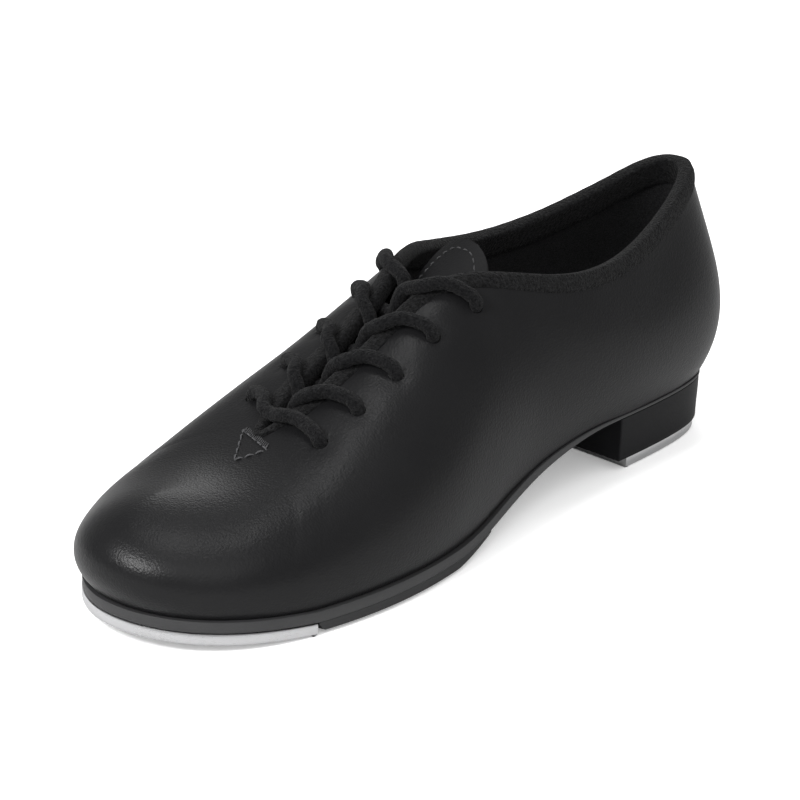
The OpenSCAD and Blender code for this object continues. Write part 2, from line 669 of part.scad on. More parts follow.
function heel_pair(i, a, z) =
    let (p = inset(i, a - welt(i), 0), q = inset(ribs - i, a - welt(ribs - i), 0))
    [[p[0], p[1], z], [q[0], q[1], z]];
// The pair where the outline meets the plane at distance d
function cut_pair(a, d, z) =
    let (p = heel_pair(heel_ribs, a, z), q = heel_pair(heel_ribs + 1, a, z),
         f = [for (e = [0, 1]) (y_of(d) - p[e][1]) / (q[e][1] - p[e][1])])
    [p[0] + f[0] * (q[0] - p[0]), p[1] + f[1] * (q[1] - p[1])];

module heel_block() {
    rows = [0:heel_ribs - 1];
    bottom = concat([for (i = rows) heel_pair(i, heel_taper, tap_seat)],
                    [cut_pair(heel_taper, breast_d, tap_seat)]);
    top = concat([for (i = rows) heel_pair(i, heel_inset, 0)], [cut_pair(heel_inset, breast_d, 0)]);
    color([0.05, 0.05, 0.05])
        difference() {
            slab(bottom, under_sole(top, gap));
            heel_screw_places() screw_cut(0.15, heel_screw_l + 0.5);
            nail_holes(nail_d + 0.4, nail_from - 0.5, seat_z);
        }
}

module heel_screw_places() {
    for (p = heel_screws)
        translate([p[0] * kx, y_of(p[1] * ky), 0])
            children();
}

module heel_tap() {
    outline = concat([for (i = [0:heel_ribs - 1]) heel_pair(i, heel_taper + tap_inset, 0)],
                     [cut_pair(heel_taper + tap_inset, breast_d - tap_front, 0)]);
    n = len(outline);
    color([0.78, 0.78, 0.78])
        difference() {
            linear_extrude(tap_t)
                polygon(concat([for (q = outline) [q[0][0], q[0][1]]],
                               [for (k = [n - 1:-1:1]) [outline[k][1][0], outline[k][1][1]]]));
            heel_screw_places() screw_cut(0.15, heel_screw_l + 0.5);
        }
}

module heel_tap_screws() {
    color([0.7, 0.68, 0.62])
        heel_screw_places() screw(heel_screw_l);
}

module heel_nails() {
    head = seat_z + bed_z + board_t - 0.2;
    color([0.5, 0.5, 0.5])
        for (p = nails)
            translate([p[0] * kx, y_of(p[1] * ky), nail_from])
                cylinder(h = head - nail_from, d = nail_d, $fn = 24);
}

upper();
lining();
topline_binding();
tongue();
tongue_lining();
tongue_stitching();
eyelets();
lace();
aglets();
throat_stitch();
toe_puff();
heel_counter();
insole_board();
sock_liner();
heel_pad();
shank();
bottom_filler();
outsole();
forefoot_pad();
toe_tap();
toe_tap_screws();
heel_block();
heel_tap();
heel_tap_screws();
heel_nails();
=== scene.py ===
import math
import bmesh
import bpy
import numpy as np
from mathutils import Matrix, Vector
from mathutils.bvhtree import BVHTree


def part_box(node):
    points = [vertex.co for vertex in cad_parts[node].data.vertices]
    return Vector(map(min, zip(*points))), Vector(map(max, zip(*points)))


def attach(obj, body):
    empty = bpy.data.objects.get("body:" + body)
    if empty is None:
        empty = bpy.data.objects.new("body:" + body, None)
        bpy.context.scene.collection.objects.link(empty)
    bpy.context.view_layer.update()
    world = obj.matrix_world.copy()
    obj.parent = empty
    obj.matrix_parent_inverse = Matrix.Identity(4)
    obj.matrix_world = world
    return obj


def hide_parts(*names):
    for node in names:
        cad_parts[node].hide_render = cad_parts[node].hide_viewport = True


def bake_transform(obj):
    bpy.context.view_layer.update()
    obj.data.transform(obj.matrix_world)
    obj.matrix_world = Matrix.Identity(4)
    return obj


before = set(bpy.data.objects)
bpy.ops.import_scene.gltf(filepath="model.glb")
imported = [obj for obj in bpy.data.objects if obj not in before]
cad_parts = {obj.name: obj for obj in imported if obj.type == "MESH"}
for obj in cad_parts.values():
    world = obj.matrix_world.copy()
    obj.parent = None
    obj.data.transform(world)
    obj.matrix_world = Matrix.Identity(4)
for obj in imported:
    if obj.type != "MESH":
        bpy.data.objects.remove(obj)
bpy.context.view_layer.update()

# A lace-up tap shoe. Lengths in this script are millimetres until a mesh is made.
MM = 0.001

# ---------------------------------------------------------------- driving sizes
LEATHER = 1.4            # upper leather
CLOTH = 0.8              # lining cloth
WALL = 3.2               # leather, padding and lining together at the collar
CLEARANCE = 0.1          # between parts that lie on each other
LACE_R = 2.15
OUTSOLE = 3.6            # outsole under the forefoot
SEAT = 1.2               # outsole over the heel block
PAD_T = 3.3              # rubber pad under the ball
BINDING_OUT = 5.2        # binding seen outside the edge
BINDING_IN = 8.5         # binding seen inside the edge
BINDING_OVER = 1.0       # fold of the binding beyond the edge
BINDING_PUFF = 0.85      # how far the binding stands proud of the leather
HOLE_R = 2.4             # lace hole
TOE_SLOPE = 0.075        # toe spring, rise per millimetre

# Shape of the last, heel centre to toe centre: feather line (distance from the heel back,
# medial x, lateral x), top end (distance, medial x, lateral x, height above the sole line),
# and the handles of the section curve (out and up at the bottom, out and up at the top).
# The same stations as the CAD design.
STATIONS = np.array([
    [3.8,    0,     0,   4,     0,     0,  67.8, 15,   24,   5.5, -23.5],
    [7.3,   18,   -17,   7.5,  10,  -9.5,  68.3, 14,   24,   6,   -23.5],
    [32,    24, -23.5,  36,  18.5,   -21,  54.8, 13.5, 24,   6,   -20],
    [69,  26.5, -28.5,  76,    26,   -32,  46.7, 10.5, 22.7, 5.5, -16],
    [104,   26, -36.5, 110,    17,   -22,  65.5,  9,   22.9, 9,    -8.5],
    [138,   38,   -42, 129,   5.5,  -5.5,  68.8,  9.5, 25.5, 16.5,  0],
    [169,   45,   -44, 151.5, 4.8,  -4.8,  54.7,  8,   26,   20.5,  1],
    [200, 44.5, -41.5, 177.5, 4.2,  -4.2,  42.5,  7,   23.5, 22,    0],
    [229, 37.5,   -33, 201.5,   0,     0,  31,    9,   21,   22,    0],
    [246, 21.5, -14.5, 221.5,   0,     0,  28.4, 14,   16,   18,    0],
    [250.5, 1.5,    5, 230,     0,     0,  28,   14,   15,   17.5,  0],
])
HALF_TURN = len(STATIONS) - 1
TURN = 2 * HALF_TURN
SLIT_END = 7.6           # station where the facings meet
SLIT_ROUND = 0.8         # stations over which the end of the slit is rounded
FACING = (4, 5.2)        # stations over which the section turns square to the throat
VAMP = (8.2, 10)         # and back again over the toes
# Eyelet pairs, ankle to toe: inner station, outer station, inner level, outer level
EYES = [(4.6, 4.5, 0.78, 0.815), (5.35, 5.2, 0.76, 0.815), (6.0, 5.85, 0.76, 0.815),
        (6.6, 6.43, 0.76, 0.815), (7.15, 7.0, 0.75, 0.815)]

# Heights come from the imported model: the taps, the heel block and the sole over them.
lo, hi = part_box("heel_tap")
TAP_T = (hi.z - lo.z) / MM
TAP_SEAT = TAP_T + CLEARANCE
BALL_Z = TAP_SEAT + OUTSOLE
SEAT_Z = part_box("outsole")[1].z / MM + CLEARANCE
# Distances from the heel back: the origin, the slope of the waist, the thickening of the
# outsole, the rear edge of the toe tap, and where the ball starts and stops bending
HEEL_CENTRE = 33
SHANK_START, SHANK_END = 66, 152
SKIVE_START, SKIVE_END = 55, 115
TOE_START = 208


def smooth(t):
    t = np.clip(t, 0, 1)
    return t * t * (3 - 2 * t)


def unit(v):
    return v / np.maximum(np.linalg.norm(v, axis=-1, keepdims=True), 1e-9)


def sole_z(d):
    """Height of the sole line at distance d from the heel back."""
    fall = SEAT_Z - (SEAT_Z - BALL_Z) * smooth((d - SHANK_START) / (SHANK_END - SHANK_START))
    return np.where(d > TOE_START, BALL_Z + TOE_SLOPE * (d - TOE_START), fall)


def sole_thickness(d):
    return SEAT + (OUTSOLE - SEAT) * smooth((d - SKIVE_START) / (SKIVE_END - SKIVE_START))


def station_loop():
    """Medial stations heel to toe, then lateral ones back: (x, d, x, d, height, handles)."""
    s = STATIONS
    medial = s[:, [1, 0, 4, 3, 6, 7, 8, 9, 10]]
    lateral = s[:, [2, 0, 5, 3, 6, 7, 8, 9, 10]]
    return np.vstack([medial, lateral[-2:0:-1]])


LOOP = station_loop()


def rib(u):
    """Station values at any place u round the shoe, by a uniform cubic B-spline."""
    u = np.asarray(u, float)
    i = np.floor(u).astype(int)
    f = (u - i)[..., None]
    row = [LOOP[(i + k) % TURN] for k in (-1, 0, 1, 2)]
    return ((1 - f) ** 3 * row[0] + (3 * f**3 - 6 * f**2 + 4) * row[1]
            + (1 + 3 * f + 3 * f**2 - 3 * f**3) * row[2] + f**3 * row[3]) / 6


def fold(u):
    """Station counted from the heel on either side."""
    w = np.mod(u, TURN)
    return np.minimum(w, TURN - w)


def y_of(d):
    """Frame y of a distance from the heel back."""
    return HEEL_CENTRE - d


def outward(u):
    """Level direction away from the foot."""
    a, b = rib(u - 0.02), rib(u + 0.02)
    t = unit(np.stack([b[..., 0] - a[..., 0], a[..., 1] - b[..., 1]], -1))
    return np.stack([-t[..., 1], t[..., 0], 0 * t[..., 0]], -1)


def slit(f):
    """Share of the throat's half width left at station f."""
    t = np.clip((f - SLIT_END + SLIT_ROUND) / SLIT_ROUND, 0, 1)
    return np.where(f > SLIT_END - 0.001, 0, np.sqrt(1 - t * t))


def top_edge(u):
    r = rib(u)
    x, d, height = r[..., 2], r[..., 3], r[..., 4]
    return np.stack([x * slit(fold(u)), y_of(d), sole_z(d) + height], -1)


def section(u):
    """Control points of the section curve from the sole line to the edge."""
    r, n, f = rib(u), outward(u), fold(u)
    k = np.where(f < FACING[1], 1 - smooth((f - FACING[0]) / (FACING[1] - FACING[0])),
                 smooth((f - VAMP[0]) / (VAMP[1] - VAMP[0])))
    m = unit(np.stack([n[..., 0], n[..., 1] * k, 0 * k], -1))
    a = np.stack([r[..., 0], y_of(r[..., 1]), sole_z(r[..., 1])], -1)
    b = top_edge(u)
    up = np.array([0, 0, 1.0])
    return (a, a + n * r[..., 5:6] + up * r[..., 6:7], b + m * r[..., 7:8] + up * r[..., 8:9], b)


def bezier(c, v):
    v = np.asarray(v)[..., None]
    w = 1 - v
    return w**3 * c[0] + 3 * w**2 * v * c[1] + 3 * w * v * v * c[2] + v**3 * c[3]


def skin(u, v, h=0.0):
    """Point at station u, level v (0 sole line, 1 edge), h above the leather."""
    u, v = np.broadcast_arrays(np.asarray(u, float), np.asarray(v, float))
    c = section(u)
    p = bezier(c, v)
    across = bezier(c, np.minimum(v + 0.01, 1)) - bezier(c, np.maximum(v - 0.01, 0))
    along = bezier(section(u + 0.06), v) - bezier(section(u - 0.06), v)
    n = unit(np.cross(across, along))
    return p + np.asarray(h)[..., None] * n


def sole_point(u, inset, h):
    """Point inset from the sole line, h above it."""
    u = np.asarray(u, float)
    r = rib(u)
    p = (np.stack([r[..., 0], y_of(r[..., 1])], -1)
         - np.asarray(inset)[..., None] * outward(u)[..., :2])
    z = sole_z(HEEL_CENTRE - p[..., 1]) + h
    return np.concatenate([p, z[..., None]], -1)


# ---------------------------------------------------------------- mesh helpers
def new_object(name, data):
    obj = bpy.data.objects.new(name, data)
    bpy.context.scene.collection.objects.link(obj)
    return obj


def make_object(name, points, faces, smooth_angle=60):
    mesh = bpy.data.meshes.new(name)
    mesh.from_pydata([tuple(p) for p in np.asarray(points) * MM], [], [tuple(f) for f in faces])
    mesh.validate()
    bm = bmesh.new()
    bm.from_mesh(mesh)
    bmesh.ops.remove_doubles(bm, verts=bm.verts, dist=1e-6)
    bmesh.ops.recalc_face_normals(bm, faces=bm.faces)
    bm.to_mesh(mesh)
    bm.free()
    obj = new_object(name, mesh)
    shade(obj, smooth_angle)
    return obj


def shade(obj, angle=60):
    for poly in obj.data.polygons:
        poly.use_smooth = True
    obj.data.set_sharp_from_angle(angle=math.radians(angle))


def grid_faces(n, m, close_n=False, close_m=False, start=0):
    """Quads over n rows of m points."""
    faces = []
    for i in range(n if close_n else n - 1):
        for j in range(m if close_m else m - 1):
            row, next_row, right = start + i * m, start + (i + 1) % n * m, (j + 1) % m
            faces.append((row + j, row + right, next_row + right, next_row + j))
    return faces


def slab_faces(rows, n):
    """Faces of a flat solid from rows of n outline points: the rim, and two caps of strips
    that run across the shoe."""
    faces = grid_faces(rows, n, close_m=True)
    for base in (0, (rows - 1) * n):
        for k in range(n // 2):
            a, b = base + k, base + k + 1
            c, d = base + (n - k - 1) % n, base + (n - k) % n
            faces.append((a, b, c) if a == d else (a, b, d) if b == c else (a, b, c, d))
    return faces


def surface_tree(obj):
    return BVHTree.FromPolygons([v.co for v in obj.data.vertices],
                                [tuple(f.vertices) for f in obj.data.polygons])


def apply_modifiers(obj):
    graph = bpy.context.evaluated_depsgraph_get()
    mesh = bpy.data.meshes.new_from_object(obj.evaluated_get(graph))
    obj.modifiers.clear()
    old = obj.data
    obj.data = mesh
    bpy.data.meshes.remove(old)


def loft(name, rings, angle=60):
    """Closed skin through equally long closed rings, with flat ends."""
    n, m = len(rings), len(rings[0])
    faces = grid_faces(n, m, close_m=True)
    faces += [tuple(range(m)), tuple(range((n - 1) * m, n * m))]
    return make_object(name, np.concatenate(rings), faces, angle)


def lengths(path):
    """Distance of each point from the start of the path."""
    steps = np.linalg.norm(np.diff(path, axis=0), axis=1)
    return np.concatenate([[0], np.cumsum(steps)])


def sample(points, s, q):
    """Points at the distances q along a path with distances s."""
    return np.stack([np.interp(q, s, points[:, k]) for k in range(3)], -1)


def tube_rings(path, radius, sides, wave=None):
    """Rings along a path; wave(angle, length) scales the radius."""
    path = np.asarray(path, float)
    tangent = unit(np.gradient(path, axis=0))
    frame_v = np.zeros_like(path)
    v = np.cross(tangent[0], [0.3, 0.2, 1.0])
    for k, t in enumerate(tangent):
        v = v - (v @ t) * t
        v = v / np.linalg.norm(v)
        frame_v[k] = v
    frame_w = np.cross(tangent, frame_v)
    ang = np.arange(sides) * 2 * math.pi / sides
    r = np.broadcast_to(np.asarray(radius, float), (len(path),))[:, None] * np.ones(sides)
    if wave is not None:
        r = r * wave(ang[None, :], lengths(path)[:, None])
    return (path[:, None] + r[..., None] * (np.cos(ang)[None, :, None] * frame_v[:, None]
                                            + np.sin(ang)[None, :, None] * frame_w[:, None]))


def spline(points, spacing):
    """Centripetal Catmull-Rom curve through the points, evenly resampled."""
    p = np.asarray(points, float)
    p = np.vstack([2 * p[0] - p[1], p, 2 * p[-1] - p[-2]])
    out = []
    for k in range(1, len(p) - 2):
        t = [0.0]
        for a in range(3):
            t.append(t[-1] + max(np.linalg.norm(p[k + a] - p[k + a - 1]), 1e-6) ** 0.5)
        q = np.linspace(t[1], t[2], 24, endpoint=False)[:, None]

        def mix(a, b, ta, tb):
            return (tb - q) / (tb - ta) * a + (q - ta) / (tb - ta) * b
        a1, a2, a3 = (mix(p[k + a - 1], p[k + a], t[a], t[a + 1]) for a in range(3))
        b1, b2 = mix(a1, a2, t[0], t[2]), mix(a2, a3, t[1], t[3])
        out.append(mix(b1, b2, t[1], t[2]))
    out = np.vstack(out + [p[-2:-1]])
    s = lengths(out)
    return sample(out, s, np.linspace(0, s[-1], max(4, int(s[-1] / spacing))))


# ---------------------------------------------------------------- materials
def new_material(name):
    mat = bpy.data.materials.new(name)
    mat.use_nodes = True
    tree = mat.node_tree
    return mat, tree, tree.nodes["Principled BSDF"]


def add(tree, kind, **inputs):
    node = tree.nodes.new(kind)
    for key, value in inputs.items():
        if key in node.inputs:
            node.inputs[key].default_value = value
        else:
            setattr(node, key, value)
    return node


def object_coords(tree, scale=(1, 1, 1)):
    coord = tree.nodes.new("ShaderNodeTexCoord")
    mapping = add(tree, "ShaderNodeMapping", Scale=scale)
    tree.links.new(coord.outputs["Object"], mapping.inputs["Vector"])
    return mapping.outputs["Vector"]


def noise(tree, vector, scale, detail=4.0, rough=0.55):
    node = add(tree, "ShaderNodeTexNoise", Scale=scale, Detail=detail, Roughness=rough)
    tree.links.new(vector, node.inputs["Vector"])
    return node.outputs["Fac"]


def voronoi(tree, vector, scale, feature="F1", smoothness=None):
    node = add(tree, "ShaderNodeTexVoronoi", feature=feature, Scale=scale)
    if smoothness is not None:
        node.inputs["Smoothness"].default_value = smoothness
    tree.links.new(vector, node.inputs["Vector"])
    return node.outputs["Distance"]


def remap(tree, value, low, high, start=0.0, end=1.0):
    node = add(tree, "ShaderNodeMapRange",
               **{"From Min": start, "From Max": end, "To Min": low, "To Max": high})
    tree.links.new(value, node.inputs["Value"])
    return node.outputs["Result"]


def mix_value(tree, a, b, kind="ADD"):
    node = add(tree, "ShaderNodeMath", operation=kind)
    for k, v in enumerate((a, b)):
        if isinstance(v, (int, float)):
            node.inputs[k].default_value = v
        else:
            tree.links.new(v, node.inputs[k])
    return node.outputs[0]


def tint(tree, factor, dark, light):
    node = tree.nodes.new("ShaderNodeMix")
    node.data_type = "RGBA"
    tree.links.new(factor, node.inputs["Factor"])
    node.inputs["A"].default_value = (*dark, 1)
    node.inputs["B"].default_value = (*light, 1)
    return node.outputs["Result"]


def bump(tree, height, strength, distance, bsdf):
    node = add(tree, "ShaderNodeBump", Strength=strength, Distance=distance)
    tree.links.new(height, node.inputs["Height"])
    tree.links.new(node.outputs["Normal"], bsdf.inputs["Normal"])


def leather(name, dark, light, rough, grain_mm, depth, shine):
    """Fine pebbled leather: cells of grain_mm with soft valleys and a waxed surface."""
    mat, tree, bsdf = new_material(name)
    vec = object_coords(tree)
    cell = 1 / (grain_mm * MM)
    warp = noise(tree, vec, cell * 0.35, 2)
    pebble = voronoi(tree, vec, cell, "SMOOTH_F1", 0.55)
    fine = noise(tree, vec, cell * 2.2, 5, 0.6)
    height = mix_value(tree, mix_value(tree, pebble, 0.75, "MULTIPLY"),
                       mix_value(tree, fine, 0.35, "MULTIPLY"))
    height = mix_value(tree, height, mix_value(tree, warp, 0.5, "MULTIPLY"))
    patches = noise(tree, vec, 38, 3)
    tree.links.new(tint(tree, patches, dark, light), bsdf.inputs["Base Color"])
    wear = mix_value(tree, patches, fine, "MULTIPLY")
    tree.links.new(remap(tree, wear, rough - 0.05, rough + 0.12), bsdf.inputs["Roughness"])
    bump(tree, height, depth, grain_mm * MM * 0.5, bsdf)
    bsdf.inputs["Specular IOR Level"].default_value = shine
    return mat


def knit(name, dark, light, pitch_mm, depth):
    """Knitted or brushed tape: fine loops with fuzz."""
    mat, tree, bsdf = new_material(name)
    vec = object_coords(tree)
    cell = 1 / (pitch_mm * MM)
    loops = voronoi(tree, vec, cell, "F1")
    fuzz = noise(tree, vec, cell * 1.7, 6, 0.7)
    height = mix_value(tree, mix_value(tree, loops, 0.8, "MULTIPLY"), fuzz)
    speck = remap(tree, noise(tree, vec, cell * 0.9, 3, 0.6), 0, 1, 0.38, 0.66)
    tree.links.new(tint(tree, speck, dark, light), bsdf.inputs["Base Color"])
    bsdf.inputs["Roughness"].default_value = 0.95
    bsdf.inputs["Sheen Weight"].default_value = 0.04
    bsdf.inputs["Sheen Roughness"].default_value = 0.5
    bsdf.inputs["Specular IOR Level"].default_value = 0.12
    bump(tree, height, depth, pitch_mm * MM * 0.6, bsdf)
    return mat


def rubber(name, dark, light, rough, grain_mm=0.5, depth=0.25, shine=0.5):
    mat, tree, bsdf = new_material(name)
    vec = object_coords(tree)
    speck = noise(tree, vec, 1 / (grain_mm * MM), 5, 0.6)
    smear = noise(tree, vec, 60, 3)
    tree.links.new(tint(tree, smear, dark, light), bsdf.inputs["Base Color"])
    tree.links.new(remap(tree, speck, rough - 0.08, rough + 0.12), bsdf.inputs["Roughness"])
    bsdf.inputs["Specular IOR Level"].default_value = shine
    bump(tree, speck, depth, 0.00006, bsdf)
    return mat


def metal(name, tone, rough, brush=(30, 30, 900)):
    """Ground aluminium or steel with fine lines and a few dull patches."""
    mat, tree, bsdf = new_material(name)
    lines = noise(tree, object_coords(tree, brush), 12, 3, 0.6)
    cloud = noise(tree, object_coords(tree), 90, 3)
    tree.links.new(tint(tree, cloud, [c * 0.86 for c in tone], tone), bsdf.inputs["Base Color"])
    scuff = mix_value(tree, lines, cloud, "MULTIPLY")
    tree.links.new(remap(tree, scuff, rough - 0.08, rough + 0.25), bsdf.inputs["Roughness"])
    bsdf.inputs["Metallic"].default_value = 1.0
    bump(tree, lines, 0.12, 0.00005, bsdf)
    return mat


def fibre(name, dark, light, grain_mm):
    mat, tree, bsdf = new_material(name)
    vec = object_coords(tree)
    grains = noise(tree, vec, 1 / (grain_mm * MM), 6, 0.65)
    tree.links.new(tint(tree, grains, dark, light), bsdf.inputs["Base Color"])
    bsdf.inputs["Roughness"].default_value = 0.85
    bump(tree, grains, 0.4, 0.0002, bsdf)
    return mat


UPPER = leather("upper_leather", (0.0055, 0.0055, 0.006), (0.0085, 0.0085, 0.009),
                rough=0.36, grain_mm=0.65, depth=0.27, shine=0.2)
TONGUE = leather("tongue_leather", (0.006, 0.006, 0.0065), (0.01, 0.01, 0.0105),
                 rough=0.6, grain_mm=0.7, depth=0.35, shine=0.12)
BINDING = knit("binding_knit", (0.001, 0.001, 0.0012), (0.0085, 0.0085, 0.009), 0.8, 1.0)
LINING = knit("lining_fabric", (0.005, 0.005, 0.0055), (0.018, 0.018, 0.019), 0.45, 0.6)
SOCK = knit("sock_fabric", (0.006, 0.006, 0.007), (0.014, 0.014, 0.015), 0.6, 0.6)
LACE = knit("lace_cotton", (0.0015, 0.0015, 0.002), (0.0085, 0.0085, 0.009), 0.7, 1.0)
THREAD = knit("thread", (0.035, 0.035, 0.036), (0.07, 0.07, 0.072), 0.2, 0.4)
PALE_THREAD = knit("pale_thread", (0.035, 0.035, 0.037), (0.08, 0.08, 0.083), 0.2, 0.4)
SOLE = rubber("sole_rubber", (0.02, 0.02, 0.021), (0.028, 0.028, 0.029), 0.5)
PAD = rubber("pad_rubber", (0.012, 0.012, 0.0125), (0.02, 0.02, 0.021), 0.6, 0.4, 0.5)
HEEL = rubber("heel_plastic", (0.005, 0.005, 0.0055), (0.008, 0.008, 0.009), 0.42, 0.7, 0.15,
              shine=0.1)
ALUMINIUM = metal("tap_aluminium", (0.72, 0.72, 0.73), 0.3)
STEEL = metal("steel", (0.62, 0.61, 0.6), 0.32, (400, 400, 400))
AGLET = rubber("aglet_plastic", (0.008, 0.008, 0.009), (0.012, 0.012, 0.013), 0.2)
EYELET = metal("eyelet_metal", (0.04, 0.04, 0.042), 0.4)
STIFFENER = fibre("stiffener", (0.34, 0.29, 0.2), (0.5, 0.44, 0.34), 0.8)
BOARD = fibre("insole_fibre", (0.36, 0.25, 0.15), (0.55, 0.42, 0.28), 1.2)
CUSHION = knit("foam", (0.008, 0.008, 0.009), (0.02, 0.02, 0.021), 0.6, 0.6)
CORK = fibre("cork", (0.2, 0.12, 0.06), (0.5, 0.34, 0.2), 2.0)


def hand_in(obj, mat, node, body=None):
    """Give the piece its material, hide the CAD node it stands for and attach it to the body it
    rides on.
    Without a body its placement is baked into the mesh."""
    obj.data.materials.clear()
    obj.data.materials.append(mat)
    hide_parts(node)
    if body:
        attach(obj, body)
    else:
        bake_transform(obj)


# ---------------------------------------------------------------- upper leather
N_U, N_V = 500, 84       # grid round the shoe and from the sole to the edge
SMOOTHING, REFILLING = 260, 220


def ripple(p):
    """Slight unevenness of lasted leather, in millimetres."""
    x, y, z = p[..., 0], p[..., 1], p[..., 2]
    return (0.10 * np.sin(0.11 * x + 0.07 * y + 0.5) * np.sin(0.09 * z + 0.05 * y)
            + 0.05 * np.sin(0.23 * y - 0.17 * z + 1.3) * np.sin(0.19 * x + 0.6))


def surface_normals(p):
    return unit(np.cross(np.gradient(p, axis=1), np.roll(p, -1, 0) - np.roll(p, 1, 0)))


def smooth_vamp(points, us, vs):
    """Round off the line where the sections of the two sides meet over the toes."""
    n, m = points.shape[:2]
    closed = fold(us) > SLIT_END - 0.001
    mirror = (n - np.arange(n)) % n
    level = smooth((vs - 0.30) / 0.4)[None, :]
    weight = (smooth((fold(us) - SLIT_END - 0.25) / 0.9)[:, None] * level)[..., None]
    p = points.copy()
    for _ in range(SMOOTHING):
        left, right = np.roll(p, 1, 0), np.roll(p, -1, 0)
        down = np.concatenate([p[:, :1], p[:, :-1]], 1)
        up = np.concatenate([p[:, 1:], p[:, -1:]], 1)
        up[closed, -1] = p[mirror[closed], -2]
        q = (left + right + down + up) / 4
        p = p + 0.5 * weight * (q - p)
    return p + refill(points, p, closed, mirror)


def refill(before, after, closed, mirror):
    """Give back the volume lost by smoothing, without its crease."""
    n = surface_normals(after)
    lost = ((before - after) * n).sum(-1)
    for _ in range(REFILLING):
        down = np.concatenate([lost[:, :1], lost[:, :-1]], 1)
        up = np.concatenate([lost[:, 1:], lost[:, -1:]], 1)
        up[closed, -1] = lost[mirror[closed], -2]
        mean = (np.roll(lost, 1, 0) + np.roll(lost, -1, 0) + down + up) / 4
        lost = lost + 0.5 * (mean - lost)
    return lost[..., None] * n


def dent(points, centre, depth, radius):
    d = np.linalg.norm(points - centre, axis=-1)
    return -depth * np.exp(-(d / radius) ** 2)


def side_u(f, s):
    """Place round the shoe of station f, on the medial side for s = 1, lateral for -1."""
    return f if s > 0 else TURN - f


def eye_station(j, s):
    return EYES[j][0 if s > 0 else 1]


def eye_level(j, s):
    return EYES[j][2 if s > 0 else 3]


EYE_CENTRES = {(j, s): skin(side_u(eye_station(j, s), s), eye_level(j, s))
               for j in range(5) for s in (1, -1)}


def join_ridge(p, us):
    """Bring the last points of the two sides together in front of the throat."""
    closed = fold(us) > SLIT_END - 0.001
    mirror = (len(us) - np.arange(len(us))) % len(us)
    ridge = (p[:, -1] + p[mirror, -1]) / 2
    p[closed, -1] = ridge[closed]


def shape_upper():
    """Outer face of the leather, a grid of points, and its normals before the ripples."""
    vs = np.linspace(0, 1, N_V)
    u, v = np.meshgrid(US, vs, indexing="ij")
    p = smooth_vamp(skin(u, v), US, vs)
    n = surface_normals(p)
    offset = ripple(p) + sum(dent(p, c, 0.55, 4.5) for c in EYE_CENTRES.values())
    p = p + offset[..., None] * n
    join_ridge(p, US)
    return p, n


US = np.arange(N_U) * TURN / N_U
shaped, grid_n = shape_upper()


def cut_holes(obj, centres, radius):
    """Punch round holes: drop the faces inside and pull the rim onto the circle."""
    bm = bmesh.new()
    bm.from_mesh(obj.data)
    for c in centres:
        c = Vector(c * MM)
        inside = {v for v in bm.verts if (v.co - c).length < radius * MM}
        doomed = {f for v in inside for f in v.link_faces}
        rim = {v for f in doomed for v in f.verts} - inside
        bmesh.ops.delete(bm, geom=list(doomed), context="FACES")
        for v in rim:
            v.co = c + (v.co - c).normalized() * radius * MM
    bmesh.ops.delete(bm, geom=[v for v in bm.verts if not v.link_faces], context="VERTS")
    bm.to_mesh(obj.data)
    bm.free()


def thicken(obj, thickness):
    mod = obj.modifiers.new("thick", "SOLIDIFY")
    mod.thickness = thickness * MM
    mod.offset = -1
    mod.use_even_offset = False
    apply_modifiers(obj)


def build_upper():
    obj = make_object("upper_leather", shaped.reshape(-1, 3), grid_faces(N_U, N_V, close_n=True))
    centre = Vector((0, y_of(150) * MM, 0.03))
    if sum((f.center - centre).dot(f.normal) for f in obj.data.polygons) < 0:
        obj.data.flip_normals()
    tree = surface_tree(obj)
    cut_holes(obj, EYE_CENTRES.values(), HOLE_R)
    thicken(obj, LEATHER)
    shade(obj, 50)
    hand_in(obj, UPPER, "upper")
    return tree


SURFACE = build_upper()


def on_skin(p, h=0.0):
    """Nearest point of the leather to p, h above it, and the normal there."""
    near, normal, _, _ = SURFACE.find_nearest(Vector(p) * MM)
    near, normal = np.array(near) / MM, np.array(normal)
    return near + h * normal, normal


# ---------------------------------------------------------------- lining and edge binding
def build_lining():
    n, m = 250, 40
    pick_u = np.round(np.arange(n) / n * N_U).astype(int)
    pick_v = np.round(np.linspace(0.03, 1, m) * (N_V - 1)).astype(int)
    p = shaped[pick_u][:, pick_v] - (WALL - CLOTH) * grid_n[pick_u][:, pick_v]
    join_ridge(p, US[pick_u])
    obj = make_object("lining_cloth", p.reshape(-1, 3), grid_faces(n, m, close_n=True))
    thicken(obj, CLOTH)
    shade(obj, 50)
    hand_in(obj, LINING, "lining")


build_lining()


def edge_loop(spacing):
    """Points along the whole topline and throat edge, evenly spaced, with the normal and
    the direction down the leather."""
    n_open = int(SLIT_END / TURN * N_U)
    order = list(range(-n_open, n_open + 1))

    def closed_row(level):
        row = np.array([shaped[i % N_U, level] for i in order])[:-1]
        return np.vstack([row, row[:1]])

    edge = closed_row(-1)
    s = lengths(edge)
    count = int(s[-1] / spacing)
    q = np.arange(count) * s[-1] / count
    e, below = sample(edge, s, q), sample(closed_row(-9), s, q)
    for _ in range(10):
        e = (np.roll(e, 1, 0) + 2 * e + np.roll(e, -1, 0)) / 4
    t = unit(np.roll(e, -1, 0) - np.roll(e, 1, 0))
    n = np.array([on_skin(x)[1] for x in e])
    for _ in range(12):
        n = unit(np.roll(n, 1, 0) + n + np.roll(n, -1, 0))
    w = unit(np.cross(t, n))
    if ((below - e) * w).sum() < 0:
        w = -w
    return e, n, w


EDGE, EDGE_N, EDGE_W = edge_loop(0.9)


